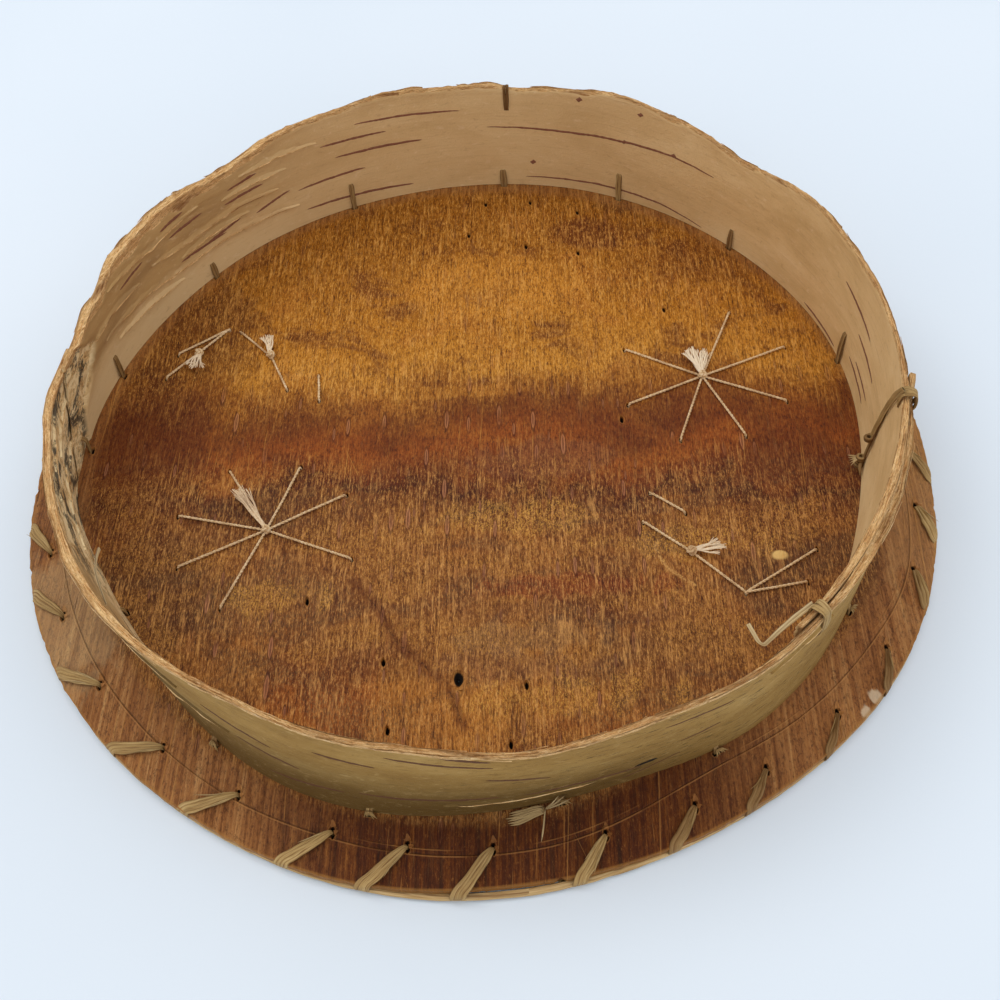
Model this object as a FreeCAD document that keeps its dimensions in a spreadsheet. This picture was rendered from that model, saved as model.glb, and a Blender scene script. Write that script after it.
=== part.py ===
import FreeCAD, Part
import math
import os
from FreeCAD import Vector

# Round birch bark box piece: a bark floor, a low wall of two lapped bark strips sewn
# to it, an overcast edge over a thin splint, and stars of thread stitched through
# the floor. Millimetres, +Z up. The origin is the middle of the floor, on the plane
# that the piece rests on, which is the underside of the overcast root.

doc = FreeCAD.newDocument("birch_bark_box")
sheet = doc.addObject("Spreadsheet::Sheet", "sizes")
SIZES = (
    ("floor_radius", 145.5, "mean radius of the bark floor"),
    ("floor_thickness", 2.2, "thickness of the bark floor"),
    ("flange_width", 19.1, "from the wall's inside face at its foot out to the edge"),
    ("wall_flare", 0.2, "how much the wall's radius grows from foot to top"),
    ("wall_thickness", 1.8, "thickness of each wall strip"),
    ("wall_height", 43.0, "height of the wall above the floor"),
    ("wall_shift_x", -1.0, "middle of the wall from the middle of the floor, X"),
    ("wall_shift_y", 4.7, "middle of the wall from the middle of the floor, Y"),
    ("wall_lean_x", 2.0, "sideways lean of the wall's top, X"),
    ("wall_lean_y", -0.9, "sideways lean of the wall's top, Y"),
    ("strip_gap", 0.3, "gap between the two wall strips where they lap"),
    ("splint_width", 2.6, "width of the splint under the edge"),
    ("splint_thickness", 1.2, "thickness of the splint"),
    ("splint_overhang", 0.5, "how far the splint stands out past the floor"),
    ("splint_joint", 1.0, "gap between the ends of two splint lengths"),
    ("splint_clearance", 0.15, "gap between the splint and the floor"),
    ("root_width", 3.6, "width of the overcast root"),
    ("root_thickness", 0.7, "thickness of the overcast root"),
    ("root_gathered", 1.3, "width of the overcast root inside its hole"),
    ("root_clearance", 0.15, "gap between root and bark"),
    ("edge_hole_length", 4.4, "length of an awl hole near the edge"),
    ("edge_hole_width", 1.9, "width of an awl hole near the edge"),
    ("edge_hole_inset", 5.8, "least distance of the awl holes from the edge"),
    ("edge_stitch_lead", 4.3, "degrees from a hole to its crossing of the edge"),
    ("foot_root_width", 2.4, "width of the root stitches at the wall's foot"),
    ("foot_root_thickness", 0.8, "thickness of those stitches"),
    ("hole_play", 0.3, "play round a root in its hole"),
    ("tie_width", 3.0, "width of the root ties over the rim"),
    ("tie_depth", 9.0, "depth of a tie below the rim"),
    ("thread_diameter", 0.9, "diameter of the sewing thread"),
    ("thread_clearance", 0.1, "gap between thread and floor"),
    ("thread_hole", 1.7, "diameter of the thread holes"),
    ("knot_radius", 1.3, "radius of a thread knot"),
    ("tuft_length", 10.0, "length of the frayed thread ends"),
    ("awl_hole", 2.2, "diameter of the empty awl holes in the floor"),
)
for row, (alias, value, note) in enumerate(SIZES, 1):
    sheet.set(f"A{row}", note)
    sheet.set(f"B{row}", str(value))
    sheet.setAlias(f"B{row}", alias)
doc.recompute()


def size(alias):
    return float(sheet.get(alias))


FLOOR_UNDER = "sizes.root_thickness + sizes.root_clearance + sizes.splint_thickness + sizes.splint_clearance"
root_t = size("root_thickness")
root_c = size("root_clearance")
splint_under = root_t + root_c
floor_under = splint_under + size("splint_thickness") + size("splint_clearance")
floor_top = floor_under + size("floor_thickness")
floor_middle = floor_under + size("floor_thickness") / 2
wall_t = size("wall_thickness")
wall_h = size("wall_height")
wall_r = size("floor_radius") - size("flange_width")
UP = Vector(0, 0, 1)


def polar(radius, deg, z=0.0):
    a = math.radians(deg)
    return Vector(radius * math.cos(a), radius * math.sin(a), z)


def swell(deg, waves):
    return sum(amp * math.cos(math.radians(n * deg - phase)) for n, amp, phase in waves)


def curve_through(points, closed=False):
    curve = Part.BSplineCurve()
    curve.interpolate(Points=points, PeriodicFlag=closed)
    return curve


def add_piece(name, shape):
    piece = doc.addObject("Part::Feature", name)
    piece.Shape = shape
    piece.Label = name
    return piece


# ---- outlines --------------------------------------------------------------------
# Cut with a knife by eye: the floor and the wall are round with slow swells.
FLOOR_WAVES = ((4, 0.69, 173), (5, 0.64, -164), (6, 0.70, 157))
FOOT_WAVES = ((1, 0.7, 43), (3, 1.35, 117), (4, 0.66, -70), (5, 1.05, 132), (6, 0.9, 30))
TOP_WAVES = ((2, 1.74, -162), (4, 0.31, -39), (5, 0.5, 3))


def bump(deg, middle, spread):
    away = (deg - middle + 180) % 360 - 180
    return math.exp(-((away / spread) ** 2))


def floor_radius_at(deg):
    # torn back a little at the front, where the splint shows under it
    return size("floor_radius") + swell(deg, FLOOR_WAVES) - 1.9 * bump(deg, 268, 14)


def splint_reach(deg):
    # radius of the splint's outer side, which keeps to the round
    return size("floor_radius") + swell(deg, FLOOR_WAVES) + size("splint_overhang")


def edge_hole_radius(deg):
    # the holes are set further in along the front left
    return floor_radius_at(deg) - size("edge_hole_inset") - 6.2 * bump(deg, 247, 42)


# ---- wall strips: where each one runs --------------------------------------------
# Degrees about the middle of the wall. The inner strip goes round the back, the
# outer one round the front, and they lap at the left and the right.
INNER_FOOT = (-52.0, 181.0)
INNER_TOP = (-55.0, 173.0)
OUTER_FOOT = (165.0, 348.6)
OUTER_TOP = (168.0, 348.6)
lap_out = wall_t + size("strip_gap")
SEAT = 0.3


def inner_stand_off(deg, share):
    return 0.0


def ease(x):
    x = min(1.0, max(0.0, x))
    return x * x * (3 - 2 * x)


def outer_stand_off(deg, share):
    # outside the inner strip at both laps, and in line with it at the front
    left = 1 - ease((deg - INNER_FOOT[1] + (INNER_FOOT[1] - INNER_TOP[1]) * share - 2.0) / 16.0)
    right = ease((deg - 284.0) / 18.0)
    return SEAT + (lap_out - SEAT) * max(left, right)


def inner_edge_height(deg):
    high = 1.9 * bump(deg, 19, 8) + 1.8 * bump(deg, 60, 8) + 1.2 * bump(deg, 99, 10)
    low = 3.4 * bump(deg, 38.5, 6.5) + 1.6 * bump(deg, 78, 3) + 3.2 * bump(deg, 130, 8)
    return wall_h + 0.8 + high - low + 0.35 * math.sin(math.radians(19 * deg))


def outer_edge_height(deg):
    high = 1.8 * bump(deg, 236, 8) + 0.8 * bump(deg, 256, 6) + 2.6 * bump(deg, 288, 8)
    low = 1.4 * bump(deg, 272, 4) + 3.6 * bump(deg, 335, 17) + 2.4 * bump(deg, 170, 8)
    return wall_h + 0.6 + high - low + 0.4 * math.sin(math.radians(17 * deg))


def wall_face(deg, share, off):
    # a point on a wall face: share 0 at the foot and 1 at the top edge
    low = wall_r + swell(deg, FOOT_WAVES) + off
    high = wall_r + size("wall_flare") + swell(deg, TOP_WAVES) + 2.2 * bump(deg, 212, 18) + off
    radius = low + (high - low) * share
    middle = Vector(
        size("wall_shift_x") + share * size("wall_lean_x"),
        size("wall_shift_y") + share * size("wall_lean_y"),
        0,
    )
    return middle + polar(radius, deg)


def face_reach(deg, height, off):
    # how far that face is from the wall's foot centre, at a height above the floor
    point = wall_face(deg, height / wall_h, off)
    centre = Vector(size("wall_shift_x"), size("wall_shift_y"), 0)
    return (point - centre).dot(polar(1, deg))


def bark_strip(foot_span, top_span, stand_off, edge_height):
    count = max(12, int((foot_span[1] - foot_span[0]) / 3.5))
    rails = {}
    for side in (0, 1):
        foot = []
        edge = []
        for i in range(count + 1):
            share = i / count
            at_foot = foot_span[0] + (foot_span[1] - foot_span[0]) * share
            at_top = top_span[0] + (top_span[1] - top_span[0]) * share
            off = side * wall_t
            height = edge_height(at_top)
            foot.append(wall_face(at_foot, 0, stand_off(at_foot, 0) + off) + UP * floor_top)
            top = wall_face(at_top, height / wall_h, stand_off(at_top, 1) + off)
            edge.append(top + UP * (floor_top + height))
        rails[side, 0] = curve_through(foot).toShape()
        rails[side, 1] = curve_through(edge).toShape()
        rails[side, "ends"] = (foot[0], foot[-1], edge[0], edge[-1])
    faces = [
        Part.makeRuledSurface(rails[0, 0], rails[0, 1]),
        Part.makeRuledSurface(rails[1, 0], rails[1, 1]),
        Part.makeRuledSurface(rails[0, 1], rails[1, 1]),
    ]
    low = [Part.makeLine(rails[0, "ends"][k], rails[1, "ends"][k]) for k in (0, 1)]
    high = [Part.makeLine(rails[0, "ends"][k], rails[1, "ends"][k]) for k in (2, 3)]
    faces.append(Part.Face(Part.Wire([rails[0, 0], low[1], rails[1, 0], low[0]])))
    faces += [Part.makeRuledSurface(a, b) for a, b in zip(low, high)]
    shell = Part.makeShell(faces)
    shell.sewShape()
    solid = Part.makeSolid(Part.Shell(shell.Faces))
    if solid.Volume < 0:
        solid.reverse()
    return solid


# ---- root rings: every root stitch that closes on itself -------------------------
def layers_at(deg, share):
    # stand-off of the innermost and the outermost bark face at an angle
    turn = deg % 360
    inner_here = turn < INNER_TOP[1] + 8 or turn > INNER_FOOT[0] + 360 - 3
    outer_here = OUTER_FOOT[0] - 1 < turn < OUTER_FOOT[1] + 1
    inside = 0.0 if inner_here else outer_stand_off(turn, share)
    outside = (outer_stand_off(turn, share) if outer_here else 0.0) + wall_t
    return inside, outside


def ring_reach(deg, low, high):
    # inner side of the inner leg and of the outer leg
    near = []
    far = []
    for height in (max(low, 0), min(high, wall_h)):
        inside, outside = layers_at(deg, height / wall_h)
        for turn in (-2.0, 0, 2.0):
            near.append(face_reach(deg + turn, height, inside))
            far.append(face_reach(deg + turn, height, outside))
    return min(near) - root_c, max(far) + root_c


def place_at(shape, deg):
    shape = shape.copy()
    shape.rotate(Vector(0, 0, 0), UP, deg)
    shape.translate(Vector(size("wall_shift_x"), size("wall_shift_y"), 0))
    return shape


def root_ring(deg, low, high, width):
    # a root that closes round the bark, its opening from low to high above the floor
    thick = size("foot_root_thickness")
    near, far = ring_reach(deg, low, high)
    tall = high - low
    body = Part.makeBox(far - near + 2 * thick, width, tall + 2 * thick)
    body.translate(Vector(near - thick, -width / 2, floor_top + low - thick))
    opening = Part.makeBox(far - near, width * 3, tall)
    opening.translate(Vector(near, -width * 1.5, floor_top + low))
    corners = [e for e in body.Edges if abs(e.tangentAt(e.FirstParameter).y) > 0.9]
    ring = body.makeFillet(thick * 0.6, corners).cut(opening)
    return place_at(ring, deg)


def ring_hole(deg, height, width):
    # the slot in the bark that a ring's bar goes through
    thick = size("foot_root_thickness")
    play = size("hole_play")
    near, far = ring_reach(deg, height, height)
    slot = Part.makeBox(far - near + 6, width + 2 * play, thick + 2 * play)
    slot.translate(Vector(near - 3, -width / 2 - play, floor_top + height - play))
    return place_at(slot, deg)


# angle about the wall's middle and height of the hole in the wall above the floor
BACK_STITCHES = (
    (8.0, 13.0), (37.5, 8.5), (59.5, 12.0), (80.0, 7.0),
    (107.0, 11.0), (135.0, 6.5), (160.0, 10.0), (175.0, 6.0),
)
FRONT_STITCHES = ((206.0, 2.6), (231.0, 2.6), (253.0, 2.6), (276.0, 2.6), (296.0, 2.6), (323.0, 2.6))
foot_w = size("foot_root_width")
foot_t = size("foot_root_thickness")
under_floor = -size("floor_thickness") - root_c

# ties over the rim: angle and width
TIE_RIGHT = (344.4, size("tie_width"))
TIE_FRONT = (309.3, size("tie_width"))
TIE_BACK = (79.0, 2.0)
LACING = (347.0, foot_w)
lacing_low = 3.0
lacing_high = wall_h - size("tie_depth") - 3.0


def rim_height(deg):
    turn = deg % 360
    inner = inner_edge_height(turn - 360 if turn > 180 else turn)
    outer = outer_edge_height(turn)
    inner_here = turn < INNER_TOP[1] or turn > INNER_TOP[0] + 360
    outer_here = OUTER_TOP[0] < turn < OUTER_TOP[1]
    return max(inner if inner_here else 0, outer if outer_here else 0)


wall_holes = []
for deg, height in BACK_STITCHES + FRONT_STITCHES:
    wall_holes.append(ring_hole(deg, height, foot_w))
for deg, width in (TIE_RIGHT, TIE_FRONT, TIE_BACK):
    wall_holes.append(ring_hole(deg, rim_height(deg) - size("tie_depth") - foot_t, width))
for height in (lacing_low - foot_t, lacing_high):
    wall_holes.append(ring_hole(LACING[0], height, LACING[1]))

inner = bark_strip(INNER_FOOT, INNER_TOP, inner_stand_off, inner_edge_height)
outer = bark_strip(OUTER_FOOT, OUTER_TOP, outer_stand_off, outer_edge_height)
add_piece("wall_inner_strip", inner.cut(Part.makeCompound(wall_holes)))
add_piece("wall_outer_strip", outer.cut(Part.makeCompound(wall_holes)))

foot_back = [root_ring(d, under_floor, h, foot_w) for d, h in BACK_STITCHES]
foot_front = [root_ring(d, under_floor, h, foot_w) for d, h in FRONT_STITCHES]
add_piece("foot_stitches_back", Part.makeCompound(foot_back))
add_piece("foot_stitches_front", Part.makeCompound(foot_front))


def rim_ring(deg, width):
    high = rim_height(deg)
    return root_ring(deg, high - size("tie_depth"), high + 1.0, width)


add_piece("rim_tie_right", rim_ring(*TIE_RIGHT))
add_piece("rim_root_back", rim_ring(*TIE_BACK))
add_piece("lap_lacing_right", root_ring(LACING[0], lacing_low, lacing_high, LACING[1]))


# ---- flat root strips: a strip through oblong sections ---------------------------
def flat_faces(a, b, c, d):
    # one face where the four corners lie in a plane, otherwise two triangles
    normal = (b - a).cross(d - a)
    if normal.Length > 0 and abs(normal.normalize().dot(c - a)) < 1e-6:
        return [Part.Face(Part.makePolygon([a, b, c, d, a]))]
    return [Part.Face(Part.makePolygon([a, b, c, a])), Part.Face(Part.makePolygon([a, c, d, a]))]


def ribbon(sections):
    # each section: middle, half the width, half the thickness, as vectors
    rings = [[c + w + t, c - w + t, c - w - t, c + w - t] for c, w, t in sections]
    faces = flat_faces(*rings[0]) + flat_faces(*rings[-1])
    for one, two in zip(rings, rings[1:]):
        for k in range(4):
            n = (k + 1) % 4
            faces += flat_faces(one[k], one[n], two[n], two[k])
    shell = Part.makeShell(faces)
    shell.sewShape()
    solid = Part.makeSolid(Part.Shell(shell.Faces))
    if solid.Volume < 0:
        solid.reverse()
    return solid


# tie at the front right, with its loose tail inside, folded back on itself
tie_deg, tie_w = TIE_FRONT
tie_top = floor_top + rim_height(tie_deg)
tie_near, tie_far = ring_reach(tie_deg, rim_height(tie_deg) - size("tie_depth"), wall_h)
tail_base = Vector(size("wall_shift_x"), size("wall_shift_y"), 0) + polar(tie_near - foot_t / 2, tie_deg)
TAIL = (
    (0.4, 0.2, -0.2, 2.4), (-3.9, -1.9, -0.6, 2.8), (-8.6, -4.6, -2.5, 1.8),
    (-12.2, -7.7, -5.2, 1.2), (-13.0, -6.6, -5.0, 1.1), (-14.9, -1.9, -4.0, 1.3),
)
tail = []
for dx, dy, dz, width in TAIL:
    at = tail_base + Vector(dx, dy, tie_top + dz)
    tail.append((at, Vector(0.2, -0.35, 0.9) * width / 2, Vector(0.35, 0.8, 0.25) * 0.35))
add_piece("rim_tie_front", rim_ring(tie_deg, tie_w).fuse(ribbon(tail)))

# flat root end lying along the wall's foot, outside at the front
end_sections = []
for deg, out, width in ((274.0, 1.8, 2.2), (272.6, 2.2, 3.2), (270.8, 2.8, 4.0), (269.0, 3.0, 4.2)):
    reach = face_reach(deg, 0, layers_at(deg, 0)[1]) + out
    at = Vector(size("wall_shift_x"), size("wall_shift_y"), 0) + polar(reach, deg)
    lift = 0.5 * bump(deg, 272.6, 1.0)
    at = at + UP * (floor_top + root_c + root_t / 2 + lift)
    end_sections.append((at, polar(width / 2, deg), UP * root_t / 2))
add_piece("root_end_front", ribbon(end_sections))


# ---- splint under the edge -------------------------------------------------------
# Split wood in lengths that meet end to end; angles of the joints about the middle.
SPLINT_JOINTS = (240.5, 270.5, 331.0, 420.0, 510.0, 600.5)
SPLINT_NAMES = ("front_left", "front", "right", "back_right", "back_left")


def splint_length(start, stop):
    half_gap = math.degrees(size("splint_joint") / 2 / size("floor_radius"))
    start += half_gap
    stop -= half_gap
    count = max(6, int((stop - start) / 5))
    sides = []
    for inset in (0, size("splint_width")):
        line = []
        for i in range(count + 1):
            deg = start + (stop - start) * i / count
            line.append(polar(splint_reach(deg) - inset, deg, splint_under))
        sides.append((curve_through(line).toShape(), line[0], line[-1]))
    (outer_side, oa, ob), (inner_side, ia, ib) = sides
    outline = Part.Wire([outer_side, Part.makeLine(ob, ib), inner_side, Part.makeLine(ia, oa)])
    return Part.Face(outline).extrude(UP * size("splint_thickness"))


for name, start, stop in zip(SPLINT_NAMES, SPLINT_JOINTS, SPLINT_JOINTS[1:]):
    add_piece("rim_splint_" + name, splint_length(start, stop))

# ---- overcast stitches round the edge --------------------------------------------
# Holes along the front as the maker set them; round the back evenly.
FRONT_HOLES = (
    177.5, 189.9, 200.1, 211.9, 224.4, 236.0, 248.4, 257.3, 267.1,
    279.9, 290.6, 300.0, 311.1, 321.8, 333.7, 343.4, 352.5,
)
BACK_COUNT = 15
back_step = (FRONT_HOLES[0] + 360 - FRONT_HOLES[-1]) / (BACK_COUNT + 1)
edge_holes = list(FRONT_HOLES)
edge_holes += [FRONT_HOLES[-1] + back_step * (i + 1) for i in range(BACK_COUNT)]


def edge_stitch(hole_deg, next_deg):
    # up through one hole, slantwise over the edge, back under and up into the next
    w = size("root_width") / 2
    gathered = size("root_gathered") / 2
    half = root_t / 2
    edge_deg = hole_deg - size("edge_stitch_lead") + 0.7 * bump(hole_deg, 268, 25)
    rho = polar(1, edge_deg)
    along = UP.cross(rho)
    hole = polar(edge_hole_radius(hole_deg), hole_deg)
    follow = polar(edge_hole_radius(next_deg), next_deg)
    wrap = max(splint_reach(edge_deg + k) for k in (-1.5, 0, 1.5)) + root_c
    edge = polar(wrap, edge_deg)
    go = edge - hole
    run = go.Length
    go.normalize()
    back = follow - edge
    under = back.Length
    back.normalize()
    side = UP.cross(go)
    side_back = UP.cross(back) * -1
    over = floor_top + root_c + half
    low = half
    skirt = floor_under - root_c - half
    wide = w / max(0.5, go.dot(rho))
    # the strip runs flat under the splint until its trailing corner is clear of it
    clear = 2.5
    corner = edge
    while corner.Length > splint_reach(edge_deg) - size("splint_width") - 2 * root_c:
        clear += 0.25
        corner = edge + back * clear - side_back * w

    def tilt(direction, deg):
        a = math.radians(deg)
        return (UP * math.cos(a) - direction * math.sin(a)) * half

    s = [
        (hole + UP * (floor_middle + 0.15), side * gathered, tilt(go, 90)),
        (hole + UP * floor_top, side * gathered, tilt(go, 90)),
        (hole + go * 0.45 + UP * (over + 0.12), side * gathered * 1.3, tilt(go, 35)),
        (hole + go * 1.6 + UP * (over + 0.15), side * w * 0.7, tilt(go, 0)),
        (hole + go * 3.6 + UP * (over + 0.2), side * w, tilt(go, 0)),
        (hole + go * (run - 3.2) + UP * (over + 0.1), side * w, tilt(go, 0)),
        (edge - rho * 0.5 + UP * (over + 0.05), along * wide, tilt(rho, -15)),
        (edge + rho * (half + 0.05) + UP * (floor_top - 0.35), along * wide, rho * half),
        (edge + rho * (half + 0.05) + UP * (low + 0.5), along * wide, rho * half),
        (edge - rho * 0.45 + UP * low, along * wide, (rho * 0.3 - UP).normalize() * half),
        (edge + back * 2.2 + UP * low, side_back * w, UP * -half),
        (edge + back * clear + UP * low, side_back * w, UP * -half),
        (edge + back * (clear + (under - clear) * 0.7) + UP * (skirt - 0.1), side_back * w * 0.6,
         UP * -half),
        (follow - back * 0.4 + UP * (skirt - 0.1), side_back * gathered * 1.3,
         (back - UP).normalize() * half),
        (follow + UP * floor_under, side_back * gathered, back * half),
        (follow + UP * (floor_middle - 0.15), side_back * gathered, back * half),
    ]
    return ribbon(s)


for i, deg in enumerate(edge_holes):
    add_piece(f"edge_stitch_{i + 1:02d}", edge_stitch(deg, edge_holes[i - 1] - (360 if i == 0 else 0)))


# ---- thread stars ----------------------------------------------------------------
thread_r = size("thread_diameter") / 2
on_floor = floor_top + size("thread_clearance") + thread_r
below_floor = floor_under - size("thread_clearance") - thread_r
knot_r = size("knot_radius")
thread_holes = []


def spot(x, y):
    # a place on the floor, in hundredths of the wall's radius
    return Vector(x, y, 0) * (wall_r / 100)


def rod(a, b, r1, r2):
    d = b - a
    if abs(r1 - r2) < 1e-6:
        return Part.makeCylinder(r1, d.Length, a, d)
    return Part.makeCone(r1, r2, d.Length, a, d)


def thread_path(points):
    parts = [rod(a, b, thread_r, thread_r) for a, b in zip(points, points[1:])]
    parts += [Part.makeSphere(thread_r * 1.06, p) for p in points]
    return parts


def stitch_loop(a, b):
    # over the floor from a to b, down at b, back under it and up at a
    a = spot(*a)
    b = spot(*b)
    thread_holes.extend(((a.x, a.y), (b.x, b.y)))
    up, low = UP * on_floor, UP * below_floor
    return thread_path([a + up, b + up, b + low, a + low, a + up])


def knot(at, ends):
    # a knot with frayed ends that stand off the floor
    middle = spot(*at) + UP * (floor_top + size("thread_clearance") + knot_r)
    parts = [Part.makeSphere(knot_r, middle)]
    for deg, share, rise in ends:
        tip = middle + polar(size("tuft_length") * share, deg, rise)
        parts.append(rod(middle, tip, thread_r * 0.8, thread_r * 0.45))
    return parts


def add_thread(name, parts):
    add_piece(name, parts[0].multiFuse(parts[1:]))


def star(middle, arms, ends):
    # arms: direction and length; each one shares the hole in the middle
    parts = knot(middle, ends)
    up = spot(*middle) + UP * on_floor
    low = spot(*middle) + UP * below_floor
    thread_holes.append((up.x, up.y))
    parts += thread_path([up, low])
    parts.append(Part.makeSphere(thread_r * 1.5, low + UP * thread_r * -0.1))
    for deg, length in arms:
        out = polar(length * wall_r / 100, deg)
        tip = up + out
        thread_holes.append((tip.x, tip.y))
        parts += thread_path([up, tip, low + out, low])
    return parts


STAR_RIGHT = ((62, 25.7), (17.6, 25.4), (331, 23.3), (289, 22.6), (245, 22.6), (198.6, 22.3), (147, 22.8))
STAR_LEFT = ((66, 20.9), (23, 21.9), (332.4, 23.7), (243.3, 23.9), (200.8, 23.4), (162, 23.8), (116.4, 22.5))
add_thread("star_thread_right", star((61.9, 16.7), STAR_RIGHT, (
    (118, 1.1, 2.2), (106, 1.15, 3.0), (94, 1.1, 2.0), (82, 1.05, 3.2), (71, 1.0, 2.0))))
add_thread("star_thread_left", star((-54.4, -19.1), STAR_LEFT, (
    (128, 1.9, 2.6), (122, 2.1, 3.4), (109, 1.9, 3.2), (134, 1.5, 1.8))))
add_thread("thread_back_left_1", stitch_loop((-66.3, 51.6), (-80.5, 43.9))
           + stitch_loop((-66.3, 51.6), (-83.3, 35.4))
           + knot((-74.3, 43.1), ((235, 0.8, 1.8), (262, 0.85, 2.4), (285, 0.9, 1.6))))
add_thread("thread_back_left_2", stitch_loop((-63.1, 50.2), (-54.1, 39.2))
           + stitch_loop((-54.1, 39.2), (-49.8, 26.9))
           + knot((-54.3, 39.7), ((112, 0.9, 2.0), (98, 0.85, 2.6), (86, 0.9, 1.8))))
add_thread("thread_single_left", stitch_loop((-41.1, 30.8), (-41.1, 21.8)))
add_thread("thread_single_right", stitch_loop((41.8, -19.5), (49.5, -26.6)))
add_thread("thread_front_right", stitch_loop((38.6, -27.9), (48.7, -38.1))
           + stitch_loop((48.7, -38.1), (59.3, -50.9))
           + stitch_loop((59.3, -50.9), (78.7, -40.9))
           + stitch_loop((59.3, -50.9), (74.4, -49.7))
           + knot((48.8, -38.2), ((8, 1.0, 2.4), (-4, 1.05, 3.0), (-16, 0.95, 1.8), (18, 0.9, 1.6))))

# loose root end inside at the left, standing away from the wall, its tip flared:
# angle, distance from the wall, height from the wall's top, width
LOOSE = (
    (216.6, 0.0, -3.5, 1.2), (214.4, 1.4, -1.5, 1.1), (212.7, 2.6, 0.0, 1.0),
    (211.2, 4.8, 1.0, 1.2), (210.4, 6.6, 1.5, 2.4),
)
near_left = face_reach(LOOSE[0][0], wall_h + LOOSE[0][2], layers_at(LOOSE[0][0], 1)[0]) - root_c - root_t / 2
loose = []
for deg, away, rise, width in LOOSE:
    at = polar(near_left - away, deg, floor_top + wall_h + rise)
    at = at + Vector(size("wall_shift_x"), size("wall_shift_y"), 0)
    loose.append((at, UP * width / 2, polar(root_t / 2, deg)))
add_piece("root_end_left", ribbon(loose))


# ---- floor -----------------------------------------------------------------------
EMPTY_HOLES = (
    (10.2, 94.2), (23.7, 93.1), (37.3, 86.6), (4.0, 81.1), (20.4, 74.0),
    (35.3, 69.2), (56.1, 43.0), (38.4, 5.1), (-44.3, -40.7), (-26.7, -59.2),
    (-26.4, -76.3), (0.6, -82.7), (5.5, -68.8),
)
LARGE_HOLE = (-9.8, -65.3)


def plane_of(body, role):
    return [f for f in body.Origin.OriginFeatures if f.Role == role][0]


def polygon(sketch, corners):
    for a, b in zip(corners, corners[1:] + corners[:1]):
        sketch.addGeometry(Part.LineSegment(a, b), False)


def slot_corners(middle, length, width, turn):
    along = polar(length / 2, turn)
    across = polar(width / 2, turn + 90)
    return [middle + along + across, middle - along + across,
            middle - along - across, middle + along - across]


def leaf_corners(middle, length, width):
    # an awl hole that opened along the grain: a pointed leaf
    return [middle + Vector(0, length / 2, 0), middle + Vector(-width / 2, length / 6, 0),
            middle + Vector(-width / 2, -length / 6, 0), middle + Vector(0, -length / 2, 0),
            middle + Vector(width / 2, -length / 6, 0), middle + Vector(width / 2, length / 6, 0)]


body = doc.addObject("PartDesign::Body", "base_disc")
body.Label = "base_disc"
outline = body.newObject("Sketcher::SketchObject", "floor_outline")
outline.AttachmentSupport = [(plane_of(body, "XY_Plane"), "")]
outline.MapMode = "FlatFace"
outline.setExpression("AttachmentOffset.Base.z", FLOOR_UNDER)
rim = [polar(floor_radius_at(d), d) for d in range(0, 360, 6)]
outline.addGeometry(curve_through(rim, True), False)
floor = body.newObject("PartDesign::Pad", "floor_sheet")
floor.Profile = outline
floor.setExpression("Length", "sizes.floor_thickness")
doc.recompute()

holes = body.newObject("Sketcher::SketchObject", "floor_holes")
holes.AttachmentSupport = [(plane_of(body, "XY_Plane"), "")]
holes.MapMode = "FlatFace"
holes.setExpression("AttachmentOffset.Base.z", FLOOR_UNDER + " + sizes.floor_thickness")
for deg in edge_holes:
    middle = polar(edge_hole_radius(deg), deg)
    polygon(holes, leaf_corners(middle, size("edge_hole_length"), size("edge_hole_width")))
wall_middle = Vector(size("wall_shift_x"), size("wall_shift_y"), 0)
play = size("hole_play")
for deg, height in BACK_STITCHES + FRONT_STITCHES:
    near, far = ring_reach(deg, under_floor, height)
    for leg in (near - foot_t / 2, far + foot_t / 2):
        middle = wall_middle + polar(leg, deg)
        polygon(holes, slot_corners(middle, foot_t + 2 * play, foot_w + 2 * play, deg))
seen = []
for x, y in thread_holes:
    if all(math.hypot(x - a, y - b) > size("thread_hole") for a, b in seen):
        seen.append((x, y))
        holes.addGeometry(Part.Circle(Vector(x, y, 0), UP, size("thread_hole") / 2), False)
for hole in EMPTY_HOLES:
    holes.addGeometry(Part.Circle(spot(*hole), UP, size("awl_hole") / 2), False)
polygon(holes, leaf_corners(spot(*LARGE_HOLE), 3 * size("awl_hole"), 2 * size("awl_hole")))
pocket = body.newObject("PartDesign::Pocket", "awl_holes")
pocket.Profile = holes
pocket.Type = 1
doc.recompute()

# ---- check and write -------------------------------------------------------------
doc.recompute()
pieces = [o for o in doc.Objects if o.TypeId in ("Part::Feature", "PartDesign::Body")]
for o in doc.Objects:
    if "Invalid" in o.State or "Error" in o.State:
        raise RuntimeError("broken: " + o.Name)
os.makedirs("parts", exist_ok=True)
for piece in pieces:
    shape = piece.Shape
    if shape.isNull() or not shape.isValid() or shape.Volume <= 0:
        raise RuntimeError("bad shape: " + piece.Label)
    shape.exportStep("parts/" + piece.Label + ".step")
    print(piece.Label, len(shape.Solids), round(shape.Volume, 2))
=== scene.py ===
import bpy
import functools
import math
import random
from mathutils import Matrix, Vector, geometry, noise


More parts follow.
